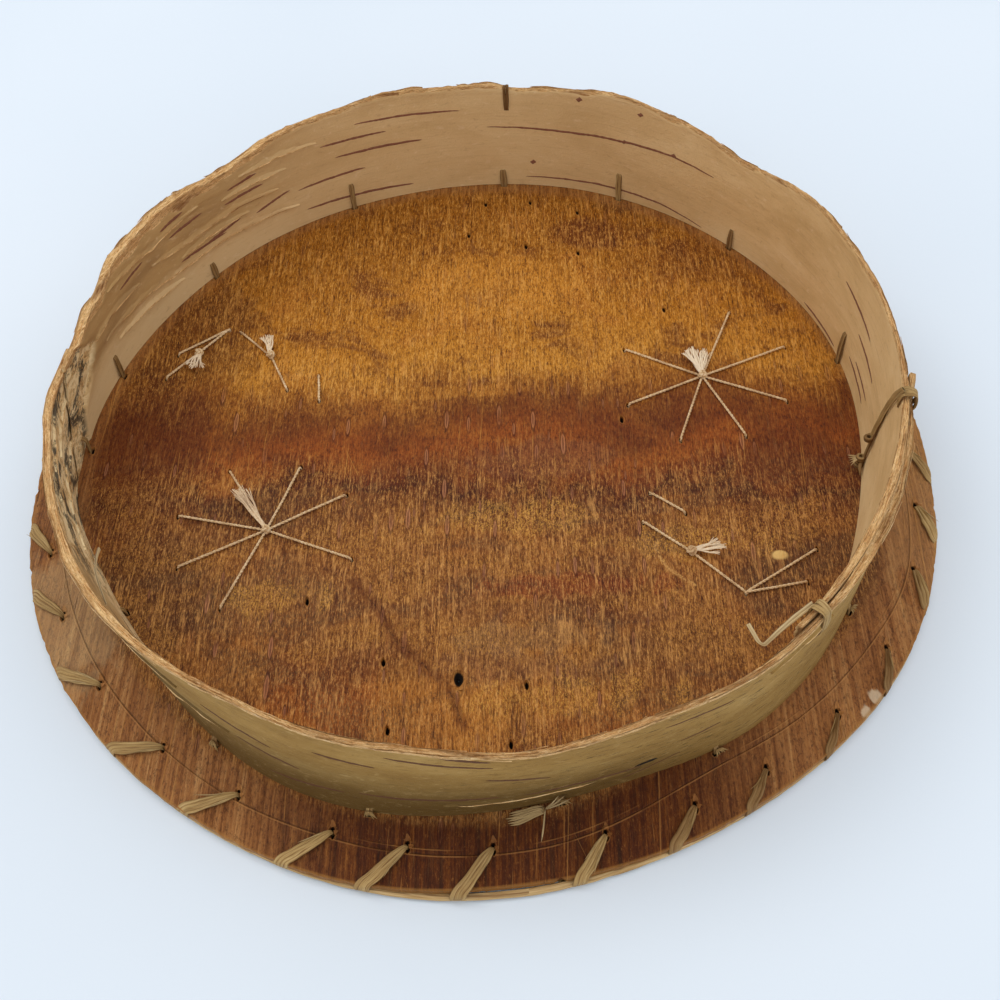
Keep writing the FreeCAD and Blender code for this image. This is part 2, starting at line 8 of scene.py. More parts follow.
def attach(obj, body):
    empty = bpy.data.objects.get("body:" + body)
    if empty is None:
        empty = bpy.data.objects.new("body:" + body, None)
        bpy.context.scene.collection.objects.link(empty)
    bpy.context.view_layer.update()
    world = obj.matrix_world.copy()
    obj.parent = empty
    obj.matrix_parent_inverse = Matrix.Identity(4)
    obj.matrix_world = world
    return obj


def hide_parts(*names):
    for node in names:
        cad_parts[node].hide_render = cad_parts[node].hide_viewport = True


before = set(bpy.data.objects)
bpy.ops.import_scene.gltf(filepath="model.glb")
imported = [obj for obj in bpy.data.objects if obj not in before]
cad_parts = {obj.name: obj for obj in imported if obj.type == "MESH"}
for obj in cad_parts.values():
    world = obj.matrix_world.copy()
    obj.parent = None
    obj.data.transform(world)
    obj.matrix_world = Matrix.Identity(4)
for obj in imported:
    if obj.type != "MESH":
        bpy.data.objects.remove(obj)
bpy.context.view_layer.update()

# ---- floor -----------------------------------------------------------------------
# The floor is one round sheet of birch bark, cut by eye with a knife, its brown
# inner face up. Awl holes are pushed through it for the thread and for the roots.
FLOOR_RADIUS = 145.5
FLOOR_TOP = 4.4
FLOOR_UNDER = 2.2
FLOOR_WAVES = ((4, 0.69, 173), (5, 0.64, -164), (6, 0.70, 157))
RIM_POINTS = 1320
TRIANGLE = 0.866  # height of a triangle in the net of the sheet, with its side as 1
RESIN = (88, -52.4)  # a dried drop of resin


def polar(radius, deg, z=0.0):
    a = math.radians(deg)
    return Vector((radius * math.cos(a), radius * math.sin(a), z))


def swell(deg, waves):
    return sum(amp * math.cos(math.radians(n * deg - phase)) for n, amp, phase in waves)


def bump(deg, middle, spread):
    away = (deg - middle + 180) % 360 - 180
    return math.exp(-((away / spread) ** 2))


def rough(x, y=0.0, z=0.0):
    # smooth noise from -1 to 1
    return noise.noise(Vector((x, y, z)))


def tint(red, green, blue):
    # a colour as it looks, 0 to 255, as a shader wants it
    out = []
    for c in (red, green, blue):
        c /= 255
        out.append(c / 12.92 if c <= 0.04045 else ((c + 0.055) / 1.055) ** 2.4)
    return (*out, 1.0)


class Value:
    # a number or a colour worked out by the nodes of a material
    def __init__(self, paint, socket):
        self.paint, self.socket = paint, socket

    def sum(self, operation, *others):
        return self.paint.add("Math", dict(enumerate((self, *others))), operation=operation).out(0)

    def __mul__(self, other):
        return self.sum("MULTIPLY", other)

    def __add__(self, other):
        return self.sum("ADD", other)

    def __sub__(self, other):
        return self.sum("SUBTRACT", other)

    def __rsub__(self, other):
        return self.sum("MULTIPLY_ADD", -1.0, other)

    def __abs__(self):
        return self.sum("ABSOLUTE")

    def step(self, low, high, to_low=0.0, to_high=1.0):
        if low > high:
            low, high, to_low, to_high = high, low, to_high, to_low
        inputs = {"Value": self, "From Min": low, "From Max": high, "To Min": to_low, "To Max": to_high}
        return self.paint.add("MapRange", inputs, interpolation_type="SMOOTHSTEP").out(0)

    def axis(self, letter):
        return self.paint.add("SeparateXYZ", {0: self}).out(letter)

    def length(self):
        return self.paint.add("VectorMath", {0: self}, operation="LENGTH").out("Value")

    def wash(self, share, strength, over):
        # lay a colour over this one
        self.socket = self.paint.blend(share * strength, self, over).socket
        return self

    def stain(self, value, low, high, strength, over):
        self.socket = self.paint.blend(value.step(low, high, 0.0, strength), self, over).socket
        return self


class Paint:
    # a material built up from nodes; colours are given as they look, 0 to 255
    def __init__(self, name):
        self.material = bpy.data.materials.new(name)
        self.material.use_nodes = True
        self.tree = self.material.node_tree
        self.shader = self.tree.nodes["Principled BSDF"]

    def add(self, kind, inputs=None, **settings):
        self.node = self.tree.nodes.new("ShaderNode" + kind)
        for key, value in settings.items():
            setattr(self.node, key, value)
        for key, value in (inputs or {}).items():
            self.give(self.node.inputs[key], value)
        return self

    def out(self, key):
        return Value(self, self.node.outputs[key])

    def give(self, socket, value):
        if isinstance(value, Value):
            self.tree.links.new(value.socket, socket)
        elif socket.type == "RGBA" and len(value) == 3:
            socket.default_value = tint(*value)
        else:
            socket.default_value = value

    def millimetres(self, kind, output, **settings):
        self.add(kind, **settings)
        return self.add("VectorMath", {0: self.out(output), 3: 1000.0}, operation="SCALE").out(0)

    def place(self):
        # position on the object
        return self.millimetres("TexCoord", "Object")

    def along(self):
        # position on a strip: along it and across it
        return self.millimetres("UVMap", "UV", uv_map="strip")

    def turn(self, vector, deg):
        return self.add("Mapping", {0: vector, 2: (0, 0, math.radians(deg))}).out(0)

    def stretch(self, vector, x, y, z, shift=(0, 0, 0)):
        return self.add("Mapping", {0: vector, 1: shift, 3: (x, y, z)}).out(0)

    def grain(self, vector, scale, detail=3.0, roughness=0.5, distortion=0.0, shift=(0, 0, 0)):
        inputs = {"Vector": self.stretch(vector, *(*scale, 1.0)[:3], shift), "Scale": 1.0, "Detail": detail,
                  "Roughness": roughness, "Distortion": distortion}
        return self.add("TexNoise", inputs).out("Fac")

    def attribute(self, name):
        return self.add("Attribute", attribute_name=name).out("Fac")

    def blend(self, share, one, two, kind="MIX"):
        self.add("Mix", {0: share}, data_type="RGBA", blend_type=kind)
        for key, value in ((6, one), (7, two)):
            self.give(self.node.inputs[key], value)
        return self.out(2)

    def ramp(self, value, stops):
        self.add("ValToRGB", {0: value})
        points = self.node.color_ramp.elements
        while len(points) < len(stops):
            points.new(0.5)
        for point, (at, colour) in zip(points, stops):
            point.position = at
            point.color = tint(*colour)
        return self.out(0)

    def lenses(self, vector, cell, lens, seed, share):
        # lens-shaped marks scattered one to a cell: 0 in the middle of a mark, 1 at its edge
        small = self.stretch(vector, 1 / cell[0], 1 / cell[1], 0.0, (seed, seed * 2.3, 0))
        self.add("TexVoronoi", {"Vector": small, "Scale": 1.0}, voronoi_dimensions="2D")
        middle, chance = self.out("Position"), self.out("Color")
        away = self.add("VectorMath", {0: small, 1: middle}, operation="SUBTRACT").out(0)
        far = self.stretch(away, cell[0] / lens[0], cell[1] / lens[1], 0.0).length()
        none = chance.axis("X").sum("GREATER_THAN", share)
        return far * chance.axis("Y").step(0.0, 1.0, 1.9, 0.8) + none * 9.0

    def finish(self, colour, roughness, height, depth, gloss=0.2):
        relief = {"Height": height, "Distance": depth / 1000, "Strength": 1.0}
        for key, value in (("Base Color", colour), ("Specular IOR Level", gloss), ("Roughness", roughness),
                           ("Normal", self.add("Bump", relief).out(0))):
            self.give(self.shader.inputs[key], value)
        return self.material


def make_piece(name, points, faces, material, nodes, marks=None, strip=None, sharp=50):
    # a mesh given in millimetres that stands for some nodes of the frame
    mesh = bpy.data.meshes.new(name)
    mesh.from_pydata([p * 0.001 for p in points], [], faces)
    mesh.polygons.foreach_set("use_smooth", [True] * len(mesh.polygons))
    mesh.set_sharp_from_angle(angle=math.radians(sharp))
    for key, values in (marks or {}).items():
        layer = mesh.attributes.new(key, "FLOAT", "POINT")
        layer.data.foreach_set("value", values)
    if strip:
        layer = mesh.uv_layers.new(name="strip")
        flat = []
        for loop in mesh.loops:
            flat.extend(c * 0.001 for c in strip[loop.vertex_index])
        layer.data.foreach_set("uv", flat)
    mesh.materials.append(material)
    mesh.update()
    piece = bpy.data.objects.new(name, mesh)
    bpy.context.scene.collection.objects.link(piece)
    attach(piece, "root")
    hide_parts(*nodes)


def rim_radius(deg):
    return FLOOR_RADIUS + swell(deg, FLOOR_WAVES) - 1.9 * bump(deg, 268, 14)


def openings_in(node, height):
    # outlines of the openings in the top face of a sheet of the frame, outer edge last
    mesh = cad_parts[node].data
    sides = set()
    for face in mesh.polygons:
        if face.normal.z > 0.9 and abs(face.center.z * 1000 - height) < 0.01:
            keys = []
            for v in face.vertices:
                co = mesh.vertices[v].co
                keys.append((round(co.x * 1e6), round(co.y * 1e6)))
            sides.update(zip(keys, keys[1:] + keys[:1]))
    follow = {a: b for a, b in sides if (b, a) not in sides}
    loops = []
    for start in sorted(follow):
        if start in follow:
            loop = [start]
            at = follow.pop(start)
            while at != start:
                loop.append(at)
                at = follow.pop(at)
            loops.append([Vector((x / 1000, y / 1000)) for x, y in reversed(loop)])
    return sorted(loops, key=lambda loop: max(p.x for p in loop) - min(p.x for p in loop))


def torn_slit(middle, length, width, seed, count=18):
    # an awl hole: a slit along the grain, pointed at both ends, its lips uneven
    loop = []
    for i in range(count):
        t = 2 * math.pi * i / count
        part = 1 + 0.28 * rough(math.cos(t) * 1.3 + seed, math.sin(t) * 1.3, seed * 3.1)
        x = -width / 2 * math.sin(t) * (0.65 + 0.35 * abs(math.sin(t))) * part
        y = length / 2 * math.cos(t) * (1 + 0.2 * rough(seed * 1.7, i * 0.1))
        loop.append(middle + Vector((x, y)))
    return loop


def eased_slot(corners, seed):
    # a slot with its corners worn round
    middle = sum(corners, Vector((0, 0))) / len(corners)
    loop = []
    for a, b in zip(corners, corners[1:] + corners[:1]):
        for share in (0.12, 0.37, 0.63, 0.88):
            p = a.lerp(b, share)
            loop.append(p + (p - middle) * 0.12 * rough(p.x * 2, p.y * 2, seed))
    return loop


holes = []
for n, loop in enumerate(openings_in("base_disc", FLOOR_TOP)[:-1]):
    low = Vector((min(p.x for p in loop), min(p.y for p in loop)))
    high = Vector((max(p.x for p in loop), max(p.y for p in loop)))
    middle = (low + high) / 2
    wide, tall = high - low
    if len(loop) == 4:
        holes.append((middle, eased_slot(loop, n), 0.1))
    elif len(loop) == 6:
        holes.append((middle, torn_slit(middle, tall * 1.05, wide * 0.95, n), 0.30))
    elif wide < 1.9:
        holes.append((middle, torn_slit(middle, 2.5, 1.35, n, 14), 0.12))
    else:
        holes.append((middle, torn_slit(middle, 3.6, 1.5, n), 0.2))


def lie_of(x, y):
    # the sheet is never quite flat
    low = 0.16 * rough(x / 38, y / 46, 3.0) + 0.07 * rough(x / 9, y / 30, 8.0) - 0.16
    low += 1.2 * math.exp(-((x - RESIN[0]) ** 2 + (y - RESIN[1]) ** 2) / 2.4)
    return low + 0.03 * rough(x / 1.6, y / 16, 5.0)


def sheet_of_bark(spacing, rings, close_in):
    # a triangle net over the sheet with its openings left out
    points = []
    for i in range(RIM_POINTS):
        deg = i * 360 / RIM_POINTS
        cut = 0.15 + 0.35 * rough(deg / 7, 2.0) + 0.3 * rough(deg / 1.3, 4.0)
        chip = max(0.0, rough(deg / 2.1, 9.0) - 0.3) * 3.2
        points.append(polar(rim_radius(deg) - max(0.0, cut) - chip, deg).xy)
    outlines = [list(range(RIM_POINTS))]
    for middle, loop, _ in holes:
        start = len(points)
        points += [middle.lerp(p, close_in) for p in loop]
        outlines.append(list(range(start, len(points))))
    near = {}
    for middle, loop, _ in holes:
        points += [p + (p - middle).normalized() * grow for grow in rings for p in loop]
        reach = max((p - middle).length for p in loop) + (rings[-1] if rings else 0.4) + 0.3
        near.setdefault((round(middle.x / 10), round(middle.y / 10)), []).append((middle, reach))
    shake = random.Random(5)
    rows, columns = int(150 / (spacing * TRIANGLE)), int(150 / spacing)
    for j in range(-rows, rows + 1):
        for i in range(-columns, columns + 1):
            x = (i + 0.5 * (j % 2) + shake.uniform(-0.25, 0.25)) * spacing
            y = (j + shake.uniform(-0.25, 0.25)) * spacing * TRIANGLE
            p = Vector((x, y))
            if p.length > rim_radius(math.degrees(math.atan2(y, x))) - 1.6:
                continue
            cells = [(round(x / 10) + u, round(y / 10) + v) for u in (-1, 0, 1) for v in (-1, 0, 1)]
            if all((p - middle).length >= reach for cell in cells for middle, reach in near.get(cell, ())):
                points.append(p)
    place, _, faces, origin, _, within = geometry.delaunay_2d_cdt(points, [], outlines, 1, 1e-5)
    faces = [face for face, inside in zip(faces, within) if list(inside) == [0]]
    lead = {}
    for new, old in enumerate(origin):
        for o in old:
            lead[o] = new
    return [Vector(p) for p in place], faces, [[lead[i] for i in loop] for loop in outlines]


def guide_radius(deg):
    # the line scribed round the flange for the awl to follow
    return 135.3 - 5.3 * bump(deg, -67, 14) + 4.0 * bump(deg, -28, 12)


# a crack where the sheet was once folded, and a curl scratched by a point
CREASE = ((-42, -46), (-37, -53), (-33, -60), (-30, -68), (-22, -77), (-15, -86), (-12, -98))
CURL = ((52, -42), (51, -45), (52, -49), (54, -53), (57.5, -57), (61, -60))


def distance(p, line):
    best = 99.0
    line = [Vector(corner) for corner in line]
    for a, b in zip(line, line[1:]):
        share = min(1.0, max(0.0, (p - a).dot(b - a) / (b - a).length_squared))
        best = min(best, (p - a.lerp(b, share)).length)
    return best


def flap(points, faces, at, deg, length, width, rise):
    # a torn tab of bark rooted at a point, bent up or down towards its tip
    start = len(points)
    for i in range(4):
        share = i / 3
        for side in (-1, 0, 1):
            half = side * width / 2 * (1 - 0.75 * share * share)
            p = polar(length * (share - 0.35), deg).xy + polar(half, deg + 90).xy + at
            lift = rise * share * share + 0.1 * rough(p.x * 2, p.y * 2, 4.0) + 0.04
            points.append(Vector((p.x, p.y, FLOOR_TOP + lift)))
    for i in range(3):
        for k in range(2):
            a = start + i * 3 + k
            faces.append((a, a + 3, a + 4, a + 1))


def floor_mesh():
    over, over_faces, over_loops = sheet_of_bark(1.3, (0.35, 0.9), 1.0)
    under, under_faces, under_loops = sheet_of_bark(4.0, (), 0.15)
    points = [Vector((p.x, p.y, FLOOR_TOP + (lie_of(p.x, p.y) if p.length < 147 else 0.0))) for p in over]
    for (_, _, lip), loop in zip(holes, over_loops[1:]):
        for i in loop:
            points[i].z += lip
    faces = [tuple(face) for face in over_faces]
    for n, (middle, outline, lip) in enumerate(holes):
        # bark pushed up at the holes on the flange, and all round the large one
        wide = max(p.x for p in outline) - min(p.x for p in outline)
        if lip == 0.30 and wide < 2.6:
            flap(points, faces, middle + Vector((0.3, 1.9)), 95 + 30 * rough(n, 2.0), 1.7, 1.5, 0.9)
            flap(points, faces, middle + Vector((0.85, -0.2)), 10 + 40 * rough(n, 5.0), 1.2, 1.3, 0.5)
        elif lip == 0.30:
            for turn in (10, 62, 118, 200, 305):
                edge = max(outline, key=lambda p: (p - middle).dot(polar(1, turn).xy))
                flap(points, faces, edge, turn, 1.3, 1.8, 0.7)
    first = len(points)
    points += [Vector((p.x, p.y, FLOOR_UNDER)) for p in under]
    faces += [tuple(i + first for i in reversed(face)) for face in under_faces]
    for top, low in zip(over_loops[1:], under_loops[1:]):
        for k in range(len(top)):
            n = (k + 1) % len(top)
            faces.append((top[k], top[n], low[n] + first, low[k] + first))
    # the cut edge shows the layers of the bark, each with a torn edge of its own
    rows = [over_loops[0]]
    for layer, height in enumerate((3.95, 3.5, 3.05, 2.6)):
        row = []
        for k in range(RIM_POINTS):
            deg = k * 360 / RIM_POINTS
            edge = points[over_loops[0][k]]
            out = 0.22 * rough(deg / 2.2, layer * 3.3, 1.0) + 0.12 * rough(deg / 0.5, layer * 5.1, 7.0)
            here = polar(edge.xy.length + min(0.15, out), deg)
            row.append(len(points))
            points.append(Vector((here.x, here.y, height + 0.08 * rough(deg / 3, layer, 4.0))))
        rows.append(row)
    rows.append([i + first for i in under_loops[0]])
    for top, low in zip(rows, rows[1:]):
        for k in range(RIM_POINTS):
            n = (k + 1) % RIM_POINTS
            faces.append((top[n], top[k], low[k], low[n]))
    marks = {"guide": [], "edge": [], "crease": [], "curl": [], "lip": [0.0] * len(points)}
    for p in points:
        deg = math.degrees(math.atan2(p.y, p.x))
        marks["guide"].append(p.xy.length - guide_radius(deg))
        marks["edge"].append(p.xy.length - rim_radius(deg))
        marks["crease"].append(distance(p.xy, CREASE))
        marks["curl"].append(distance(p.xy, CURL))
    for i in range(len(over), first):
        marks["lip"][i] = 1.0
    for top, low in zip(over_loops[1:], under_loops[1:]):
        for i in top:
            marks["lip"][i] = 1.0
        # the lower ring of each hole is marked -3 for the painted shade inside the hole
        for i in low:
            marks["lip"][i + first] = -3.0
    return points, faces, marks


def floor_material():
    paint = Paint("birch_inner_bark")
    # the grain runs a few degrees off straight
    skew = 5.3
    turned = Matrix.Rotation(math.radians(skew), 2)
    where = paint.turn(paint.place(), skew)
    y = where.axis("Y")
    guide = paint.attribute("guide")

    def noise_of(scale, detail=4.0, rough_by=0.6, twist=0.4, shift=(0, 0, 0)):
        return paint.grain(where, scale, detail, rough_by, twist, shift)

    def patch(x, y, wide, tall, ragged=0.5):
        # a stain with a ragged border
        x, y = turned @ Vector((x, y))
        far = paint.stretch(where, 1 / wide, 1 / tall, 0.0, (-x / wide, -y / tall, 0)).length()
        return ((border - 0.5) * (-3.2 * ragged) + far).step(1.15, 0.65)

    # broad bands from front to back, their borders drawn out along the grain
    border = noise_of((0.09, 0.045, 0.05), 5.0, 0.65, 0.6)
    drift = noise_of((0.03, 0.02, 0.02), 3.0, 0.55, 0.4)
    level = drift * 44.0 + y + border * 22.0
    colour = paint.ramp(level.step(-107.0, 153.0), (
        (0.00, (152, 104, 52)), (0.10, (160, 110, 54)), (0.22, (144, 96, 54)),
        (0.34, (146, 96, 50)), (0.42, (134, 84, 42)), (0.475, (110, 52, 20)),
        (0.50, (132, 70, 28)), (0.56, (156, 92, 42)), (0.61, (140, 82, 38)),
        (0.66, (134, 82, 36)), (0.71, (160, 108, 44)), (0.76, (192, 140, 62)),
        (0.85, (184, 130, 46)), (1.00, (158, 106, 20))))
    # a smooth red band across the middle, with a dark ragged line along its front
    band = abs(level - 41.0).step(26.0, 4.0)
    tide = abs(border * 10.0 + level - 22.0)
    colour.stain(tide, 3.0, 0.2, 0.6, (74, 30, 10))
    clouds = noise_of((0.035, 0.05, 0.03), 5.0, 0.62, 0.7, (7, 3, 0))
    colour.stain(clouds, 0.52, 0.66, 0.62, (112, 58, 24))
    colour.stain(clouds, 0.46, 0.34, 0.40, (178, 120, 60))
    # stains: where, how wide and how tall, how strong and which colour; the dark brown ones near the left
    # wall foot are partly patina and partly painted shade from the wall
    for x0, y0, wide, tall, strength, over in (
            (-52, -84, 20, 20, 0.7, (166, 98, 42)), (-18, -94, 22, 16, 0.75, (188, 132, 66)),
            (38, -97, 34, 14, 0.5, (168, 104, 44)), (12, 74, 34, 18, 0.6, (206, 150, 72)),
            (-20, 27, 36, 2.8, 0.4, (190, 138, 66)), (10, 25, 14, 3.0, 0.5, (176, 122, 58)),
            (-52, -72, 20, 11, 0.6, (118, 70, 34)), (27, -94, 30, 9, 0.5, (176, 122, 58)),
            (50, 97, 17, 9, 0.65, (118, 64, 22)), (64, 112, 10, 6, 0.6, (96, 52, 20)),
            (-104, -45, 24, 26, 0.7, (106, 68, 38)), (-112, 12, 26, 40, 0.75, (112, 60, 24)),
            (-100, 66, 30, 30, 0.75, (116, 68, 22)), (-70, -20, 26, 14, 0.5, (108, 66, 38)),
            (60, -88, 44, 16, 0.55, (122, 82, 48)), (88, 76, 30, 12, 0.5, (132, 80, 22)),
            (104, -18, 26, 12, 0.6, (106, 52, 20)), (100, -62, 28, 18, 0.6, (112, 74, 44))):
        colour.wash(patch(x0, y0, wide, tall), strength, over)
    for x0, y0, wide, tall, strength, over in (
            (18, -6, 26, 7, 0.4, (132, 92, 80)), (10, -72, 22, 6, 0.4, (150, 126, 104)),
            (4, -80, 24, 6, 0.4, (126, 88, 76)), (25, -55, 30, 4, 0.5, (150, 70, 34))):
        colour.wash(patch(x0, y0, wide, tall, 1.2), strength, over)
    # worn patina: fine mottle everywhere, gold and grey specks in drifts at the front
    mottle = noise_of((1.5, 0.6, 0.6), 6.0, 0.8, 0.3)
    colour.stain(mottle, 0.49, 0.36, 0.72, (84, 38, 12))
    cream = 1.0 - band * 0.75
    colour.wash(mottle.step(0.52, 0.64) * cream, 0.60, (222, 180, 126))
    zone = noise_of((0.022, 0.05, 0.03), 4.0, 0.6, 0.5, (31, 12, 0))
    front = y.step(8.0, -24.0)
    speck = noise_of((2.1, 1.2, 1.0), 6.0, 0.8, 0.5, (3, 9, 0))
    gold = zone.step(0.45, 0.60) * front * speck.step(0.46, 0.62)
    colour.wash(gold, 0.72, (204, 158, 88))
    for x0, y0, wide, tall in ((5, -29, 30, 6), (60, -44, 24, 6), (-66, -49, 16, 6), (14, -92, 30, 6)):
        here = patch(x0, y0, wide, tall, 1.5) * speck.step(0.48, 0.57)
        colour.wash(here, 0.7, (214, 172, 98))
    grey = zone.step(0.52, 0.40) * front * speck.step(0.56, 0.42)
    colour.wash(grey, 0.6, (118, 96, 74))
    # the grain: short broken streaks from front to back
    streak = noise_of((1.3, 0.10, 0.1), 5.0, 0.7, 0.2)
    fine = noise_of((2.6, 0.45, 0.2), 4.0, 0.75, 0.1)
    here = noise_of((0.04, 0.05, 0.04), 3.0, 0.6, 0.3, (50, 8, 0))
    grain_at = here.step(0.36, 0.62, 0.45, 1.0) * cream
    colour.wash(streak.step(0.51, 0.62) * grain_at, 0.55, (218, 174, 120))
    colour.wash(streak.step(0.47, 0.34) * grain_at, 0.6, (78, 36, 12))
    colour.wash(fine.step(0.53, 0.64) * cream, 0.5, (222, 178, 124))
    colour.stain(fine, 0.48, 0.36, 0.5, (70, 32, 12))

    # scratches from use, nearly along the grain
    scratches = []
    for turn, cell, lens, seed, share in (
            (2, (3.6, 30), (0.22, 12), 3.0, 0.32), (-3, (4.5, 24), (0.2, 8), 9.0, 0.3),
            (-24, (14, 40), (0.22, 13), 5.0, 0.22), (3, (8, 70), (0.3, 30), 15.0, 0.22)):
        scratches.append(paint.lenses(paint.turn(where, turn), cell, lens, seed, share).step(0.95, 0.45))
    scratches = functools.reduce(lambda one, two: one.sum("MAXIMUM", two), scratches)
    worn = scratches * clouds.step(0.60, 0.42, 0.25, 1.0)
    colour.wash(worn, 0.36, (214, 168, 108))
    # breathing pores: pinkish capsules with a dark rim and a dark line down the middle
    pores = paint.lenses(where, (5.6, 14.0), (0.85, 4.8), 3.0, 0.5)
    rim = pores.step(1.12, 0.92) - pores.step(0.80, 0.62)
    inner = pores.step(0.80, 0.60)
    slit = paint.lenses(where, (5.6, 14.0), (0.25, 3.4), 3.0, 0.5)
    few = noise_of((0.11, 0.07, 0.1), 2.0, 0.6, 0.0, (2, 60, 0))
    pore_at = y.step(40.0, 18.0, 0.3, 1.0) * few.step(0.40, 0.62, 0.15, 1.0)
    colour.wash(rim * pore_at, 0.5, (80, 40, 26))
    colour.wash(inner * pore_at, 0.55, (196, 146, 124))
    pale = paint.lenses(where, (3.4, 11.0), (0.6, 4.2), 21.0, 0.4).step(1.1, 0.5)
    colour.wash(pale * grain_at, 0.32, (206, 156, 108))
    colour.wash(slit.step(1.0, 0.4) * pore_at, 0.5, (104, 60, 44))

    # the flange: browner, striped, dark and red at the front; that dark red is partly the bark's colour and
    # partly painted shade cast by the front wall
    flange = guide.step(-11.0, -6.0)
    stripes = noise_of((0.75, 0.02, 0.1), 4.0, 0.7, 0.25, (11, 5, 0))
    brown = paint.ramp(stripes, (
        (0.30, (116, 76, 48)), (0.46, (164, 118, 80)), (0.60, (186, 144, 104)),
        (0.74, (210, 174, 132))))
    # dark red ramp for the front arc: the bark's red with painted shade from the front wall laid in
    red = paint.ramp(stripes, (
        (0.30, (52, 22, 8)), (0.46, (92, 44, 14)), (0.60, (122, 72, 28)),
        (0.74, (158, 108, 54))))
    red_and_shaded_front_arc = abs(where.axis("X") - 12.0).step(84.0, 38.0) * y.step(-60.0, -90.0)
    skin = paint.blend(red_and_shaded_front_arc, brown, red)
    skin.stain(mottle, 0.52, 0.36, 0.6, (70, 36, 16))
    skin.stain(mottle, 0.54, 0.70, 0.4, (190, 142, 88))
    skin.wash(scratches, 0.5, (196, 150, 98))
    colour.wash(flange, 0.85, skin)
    # the scribed lines: a thin pale crease with its shadow beside it
    guide = guide + noise_of((0.02, 0.02, 0.02), 1.0, 0.5, 0.0, (1, 1, 0)) - 0.5
    broken = noise_of((0.03, 0.03, 0.03), 2.0, 0.5, 0.0, (3, 0, 0)).step(0.47, 0.56)
    shadow = abs(guide + 0.42).step(0.3, 0.1)
    light = abs(guide).step(0.32, 0.12).sum("MAXIMUM", abs(guide + 1.7).step(0.26, 0.1) * broken)
    fading = noise_of((0.06, 0.06, 0.06), 2.0, 0.5, 0.0, (9, 4, 0)).step(0.36, 0.52, 0.35, 1.0)
    colour.wash(light * fading, 0.5, (196, 150, 104))
    colour.wash(shadow * fading, 0.3, (76, 44, 26))
    crease = paint.attribute("crease")
    colour.stain(crease, 2.4, 0.4, 0.42, (104, 52, 26))
    colour.wash(crease.step(0.55, 0.15) * speck.step(0.60, 0.40), 0.75, (62, 30, 16))
    curl = paint.attribute("curl")
    colour.wash(curl.step(0.8, 0.3) * speck.step(0.40, 0.55), 0.8, (210, 172, 120))
    # the drop of resin, and two white scars
    colour.wash(patch(*RESIN, 2.7, 1.8, 0.15), 0.85, (232, 202, 148))
    for scar in ((103.2, -102.0, 2.2, 2.6, 1.5), (100.2, -105.4, 1.8, 2.4, 1.5)):
        colour.wash(patch(*scar), 0.7, (222, 208, 194))
    for x0, y0, wide, tall, strength, over in (
            (-130, -52, 22, 34, 0.32, (204, 184, 156)), (136, -46, 18, 44, 0.25, (204, 170, 130))):
        colour.wash(flange * patch(x0, y0, wide, tall, 0.8), strength, over)
    colour.stain(paint.attribute("edge"), -1.0, -0.3, 0.55, (184, 144, 92))
    # pale torn lips round the holes; lower down, the walls of the holes turn near black: painted shade
    # inside the holes
    lips_and_hole_shade = paint.attribute("lip")
    colour.stain(lips_and_hole_shade, 0.12, 0.6, 0.4, (186, 140, 90))
    colour.stain(lips_and_hole_shade, -0.1, -1.0, 1.0, (34, 20, 10))

    colour = paint.add("Gamma", {0: colour, 1: 1.32}).out(0)
    dull = paint.blend(y.step(30.0, -40.0), (1.24, 1.20, 0.84, 1.0), (1.18, 1.14, 0.96, 1.0))
    colour = paint.blend(1.0, colour, dull, "MULTIPLY")
    height = fine * 0.35 + streak + mottle * 0.9 + scratches * 0.25 + shadow * -0.7 + light * 0.5
    height = height + crease.step(1.6, 0.0) * -1.2 + inner * 0.45 + slit.step(1.0, 0.4) * -0.8
    shine = mottle.step(0.35, 0.65, 0.44, 0.66)
    return paint.finish(colour, shine, height, 0.42)


points, faces, marks = floor_mesh()
make_piece("bark_floor", points, faces, floor_material(), ["base_disc"], marks)

# ---- wall strips -----------------------------------------------------------------
# The wall is two strips of bark set on edge and lapped: the inner one runs round
# the back, the outer one round the front. Their top edges were torn, not cut.
WALL_RADIUS = 126.4
WALL_T = 1.8
WALL_H = 43.0
FOOT_WAVES = ((1, 0.7, 43), (3, 1.35, 117), (4, 0.66, -70), (5, 1.05, 132), (6, 0.9, 30))
TOP_WAVES = ((2, 1.74, -162), (4, 0.31, -39), (5, 0.5, 3))
SEAT = 0.3  # how far out the front strip stands where it runs alone
LAP_OUT = 2.1  # and where it laps the back strip
MIDDLE = Vector((-1.0, 4.7, 0.0))


def ease(x):
    # from 0 to 1, slow at both ends
    x = min(1.0, max(0.0, x))
    return x * x * (3 - 2 * x)


def no_stand_off(deg, share):
    return 0.0


def outer_stand_off(deg, share):
    left = 1 - ease((deg - 181.0 + 8.0 * share - 2.0) / 16.0)
    right = ease((deg - 284.0) / 18.0)
    return SEAT + (LAP_OUT - SEAT) * max(left, right)


def inner_edge_height(deg):
    # the torn top edge of the back strip
    high = 1.9 * bump(deg, 19, 8) + 1.8 * bump(deg, 60, 8) + 1.2 * bump(deg, 99, 10)
    low = 3.4 * bump(deg, 38.5, 6.5) + 1.6 * bump(deg, 78, 3) + 3.2 * bump(deg, 130, 8)
    low += 5.4 * ease((deg - 153) / 7) + 1.5 * ease((deg - 164) / 4) - 1.4 * bump(deg, 162.5, 2.2)
    return WALL_H + 0.8 + high - low + 0.35 * math.sin(math.radians(19 * deg))


def outer_edge_height(deg):
    # the torn top edge of the front strip
    high = 1.8 * bump(deg, 236, 8) + 0.8 * bump(deg, 256, 6) + 2.6 * bump(deg, 288, 8)
    high += 2.4 * ease((deg - 345.5) / 2.2)
    low = 1.4 * bump(deg, 272, 4) + 3.6 * bump(deg, 335, 17) + 8.5 * (1 - ease((deg - 171) / 15))
    return WALL_H + 0.6 + high - low + 0.4 * math.sin(math.radians(17 * deg))


